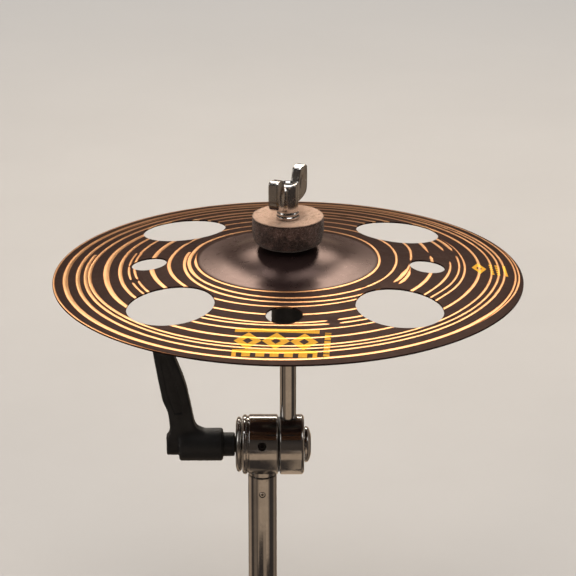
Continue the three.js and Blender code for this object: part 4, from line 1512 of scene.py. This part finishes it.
lever = sdf_mesh("lever_moulded", lever_distance, (-76.5, -10.6, AXIS - 10.6),
                 (-28, 10.6, AXIS + 63.5), voxel=0.38)
relax(lever, 2)
boolean(lever, [
    drill_x(5.15, -38, -28.5, seg=64), drill_x(6.6, -41.2, -36.7, seg=64),
    star(6.6, 5.7, -45.6, -41.1), drill_x(5.0, -47.5, -45.4, seg=48),
    drill_x(2.4, -50, -47, seg=40), drill_x(4.75, -70, -49, seg=64)])
sharpen(lever, 50)
own(lever, nylon("nylon_black_lever", base=(0.0095, 0.009, 0.009), rough=0.46, grain=0.4,
                 scale=2.2), "lever_grip", "lever_handle")

plug = turned("lever_end_plug", [
    (0, -66.9, 0), (3.6, -66.9, .3), (4.4, -66.3, .3), (4.4, -65.0, .2), (0, -65.0, 0)],
    seg=64, corner=(.3, 3), axis="X", closed=False)
own(plug, nylon("nylon_black_plug", rough=0.36, grain=0.2),
    "lever_grip", "lever_cap")

insert = turned("lever_core_insert", [
    (0, -47.2, 0), (4.3, -47.2, .2), (4.6, -46.9, .2), (4.6, -41.4, .1), (4.8, -41.2, .1),
    (4.8, -29.3, .3), (4.4, -29.0, .2), (0, -29.0, 0)],
    seg=64, corner=(.2, 3), axis="X", closed=False)
boolean(insert, [star(6.2, 5.3, -45.3, -41.3)], "UNION")
boolean(insert, [drill_x(3.35, -40.5, -28.4, seg=48), drill_x(2.35, -48, -40, seg=40)])
sharpen(insert, 30)
own(insert, steel("steel_insert", base=(0.36, 0.33, 0.28), rough=0.32, axis="X"),
    "lever_core", "lever_insert")

screw = turned("lever_screw_m4", [
    (0, -62.9, 0), (1.4, -62.9, 0), (1.4, -62.0, 0), (2.2, -62.0, 0), (2.2, -62.9, .1),
    (3.6, -62.9, .4), (4.3, -62.2, .4), (4.3, -59.9, .15), (2.0, -59.9, .1), (2.0, -41.4, .2),
    (1.6, -41.0, .2), (0, -41.0, 0)], seg=48, corner=(.1, 3), axis="X", closed=False)
own(screw, STEEL_X, "lever_core", "lever_screw")


def build_spring():
    """a coil of round wire on the clamp axis, its end coils closer together"""
    turns, start_x, end_x = 6.5, -59.35, -49.65
    wire_r, coil_r = 0.45, 3.5
    steps, around = 260, 10
    points = []
    for i in range(steps + 1):
        u = i / steps
        advance = (0.10 * min(u / 0.15, 1) + 0.80 * np.clip((u - 0.12) / 0.76, 0, 1)
                   + 0.10 * max(0, (u - 0.85) / 0.15))
        x = start_x + (end_x - start_x) * advance
        a = 2 * math.pi * turns * u
        for k in range(around):
            b = 2 * math.pi * k / around
            reach = coil_r + wire_r * math.cos(b)
            points.append((x + wire_r * math.sin(b), reach * math.cos(a),
                           AXIS + reach * math.sin(a)))
    made = new_mesh("spring_wire", points, [tube_faces(0, steps + 1, around)])
    rest_attribute(made.data, points)
    return made


stretch_between(build_spring(),
                chrome("spring_steel", base=(0.42, 0.41, 0.40), rough=0.2, rest=True),
                (-59.3, 0, AXIS), (-49.9, 0, AXIS),
                "lever_spring")

# ================================================================ floor, in metres
BACKDROP = (0.600, 0.572, 0.540)


def floor_material():
    """pale, fading into the backdrop so that no edge shows at a low angle"""
    material = new_material("floor_pale")
    place = position(material)
    cloud = noise(place, scale=0.004, detail=4, rough=0.6)
    grain = noise(place, scale=0.6, detail=3, rough=0.6)
    colour = mix(remap(cloud, (0.3, 0.7)), (0.475, 0.461, 0.447), (0.503, 0.489, 0.475))
    surface = principled(material, base=colour, rough=0.75, spec=0.25,
                         normal=bump(grain, strength=0.05, depth=0.2))
    x, y, _ = split(place)
    fade = remap(from_axis(x, y), (600, 2300), smooth=True)
    backdrop = node("Emission", {0: BACKDROP}, owner=material)
    node("OutputMaterial", {0: node("MixShader", {0: fade, 1: surface, 2: backdrop})})
    return material


def plane(name, size, segments, height, material):
    work = bmesh.new()
    bmesh.ops.create_grid(work, x_segments=segments, y_segments=segments, size=size)
    mesh = bpy.data.meshes.new(name)
    work.to_mesh(mesh)
    work.free()
    mesh.materials.append(material)
    made = bpy.data.objects.new(name, mesh)
    made.location = (0, 0, height)
    scene.collection.objects.link(made)
    return made


plane("floor", size=6.0, segments=24, height=0, material=floor_material())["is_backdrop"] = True


# ================================================================ world
def build_world():
    """pale to the camera and to soft light, a dark studio to reflections"""
    world = clear_nodes(bpy.data.worlds.new("studio"))
    scene.world = world
    _, y, z = split(node("TexCoord", {}, "Generated", world))
    sky = node("ValToRGB", {0: z})
    stops = sky.socket.node.color_ramp.elements
    stops[0].position, stops[0].color = 0.0, (0.20, 0.155, 0.122, 1)
    stops[1].position, stops[1].color = 1.0, (0.06, 0.054, 0.05, 1)
    for place, colour in ((0.10, (0.17, 0.132, 0.105)), (0.35, (0.20, 0.160, 0.132)),
                          (0.62, (0.10, 0.084, 0.072)), (0.8, (0.04, 0.036, 0.033))):
        stops.new(place).color = (*colour, 1)
    front_dim = remap(y, (-0.35, 0.45), to=(0.30, 1.0), smooth=True)
    studio = node("Background", {0: mix(1.0, sky, front_dim, blend="MULTIPLY")})
    ambient = node("Background", {0: (0.36, 0.345, 0.335)}, owner=world)
    backdrop = node("Background", {0: BACKDROP}, owner=world)
    to_camera = node("LightPath", {}, "Is Camera Ray", world)
    pale = node("MixShader", {0: to_camera, 1: ambient, 2: backdrop})
    mixed = node("MixShader", {0: to_camera.sibling("Is Glossy Ray"), 1: pale, 2: studio})
    node("OutputWorld", {0: mixed})


build_world()

# ================================================================ reflection card
# light strips that fan out from the axis: (azimuth, half width, soft edge, brightness), degrees
CARD_STRIPS = ((-76, 9, 8, 0.30), (-150, 8, 12, 0.16), (150, 14, 14, 0.38), (25, 12, 14, 0.20),
               (85, 16, 14, 0.5))


def card_material():
    material = new_material("reflection_card")
    x, y, _ = split(node("TexCoord", {}, "Object", material))
    angle = calc("ARCTAN2", y, x)

    def strip(azimuth, half_width, soft):
        turn = (angle - (math.radians(azimuth) - math.pi)) % (2 * math.pi)
        off = abs(turn - math.pi)
        return calc("MULTIPLY", math.radians(half_width + soft) - off, 1 / math.radians(soft),
                    clamp=True)

    def rise(value, start, end):
        return calc("MULTIPLY", value - start, 1 / (end - start), clamp=True)

    away = from_axis(x, y)
    light = None
    for azimuth, half_width, soft, bright in CARD_STRIPS:
        one = strip(azimuth, half_width, soft) * bright
        light = one if light is None else larger(light, one)
    # a broad panel in front, seen as a level band on the drums and an upright one on the rod
    band = rise(away, 0.20, 0.23) * (1.0 - rise(away, 0.66, 0.74))
    light = larger(light, band * strip(azimuth=-84, half_width=34, soft=18) * 0.44)
    colour = mix(light, (0.048, 0.039, 0.034), (0.95, 0.71, 0.50))
    node("OutputMaterial", {0: node("Emission", {0: colour})})
    return material


# a dark card on the floor, seen only in reflections
card = plane("reflection_card", size=5.0, segments=2, height=0.0004, material=card_material())
for ray in ("camera", "diffuse", "shadow", "transmission", "volume_scatter"):
    setattr(card, "visible_" + ray, False)
card.visible_glossy = True
card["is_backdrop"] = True

# ================================================================ lights, in metres
LIGHT_TARGET = Vector((0, 0, 0.25))
# (name, place, (width, height), watts, colour)
LIGHTS = (
    ("key_back", (0.05, 1.55, 1.35), (1.1, 0.55), 18, (1.0, 0.90, 0.77)),
    ("fill_left", (-1.7, -0.5, 1.1), (0.8, 1.0), 4.4, (1.0, 0.97, 0.93)),
    ("fill_right", (1.7, -0.2, 1.3), (0.6, 1.0), 2.2, (1.0, 0.96, 0.92)),
    ("top", (0.0, -0.2, 2.2), (1.6, 1.2), 21, (1.0, 0.975, 0.95)),
    ("hair", (0.0, 0.95, 1.85), (0.8, 0.4), 8, (1.0, 0.92, 0.84)))
for name, place, size, watts, colour in LIGHTS:
    light = bpy.data.lights.new(name, "AREA")
    light.shape = "RECTANGLE"
    light.size, light.size_y = size
    light.energy = watts
    light.color = colour
    lamp = bpy.data.objects.new(name, light)
    lamp.location = place
    aim = LIGHT_TARGET - Vector(place)
    lamp.rotation_euler = aim.to_track_quat("-Z", "Y").to_euler()
    scene.collection.objects.link(lamp)

# ================================================================ camera
ELEVATION, CAMERA_AWAY = math.radians(20.5), 1.45
lens = bpy.data.cameras.new("camera")
lens.sensor_width = 36.0
lens.lens = 167.3375
lens.clip_start, lens.clip_end = 0.05, 60
camera = bpy.data.objects.new("camera", lens)
scene.collection.objects.link(camera)
look_at = Vector((0.0, 0.0, (APEX - 25.4) * MM))
camera.location = look_at + Vector((0, -CAMERA_AWAY * math.cos(ELEVATION),
                                    CAMERA_AWAY * math.sin(ELEVATION)))
camera.rotation_euler = (math.pi / 2 - ELEVATION, 0, 0)
scene.camera = camera

bpy.context.view_layer.update()
low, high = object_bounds()
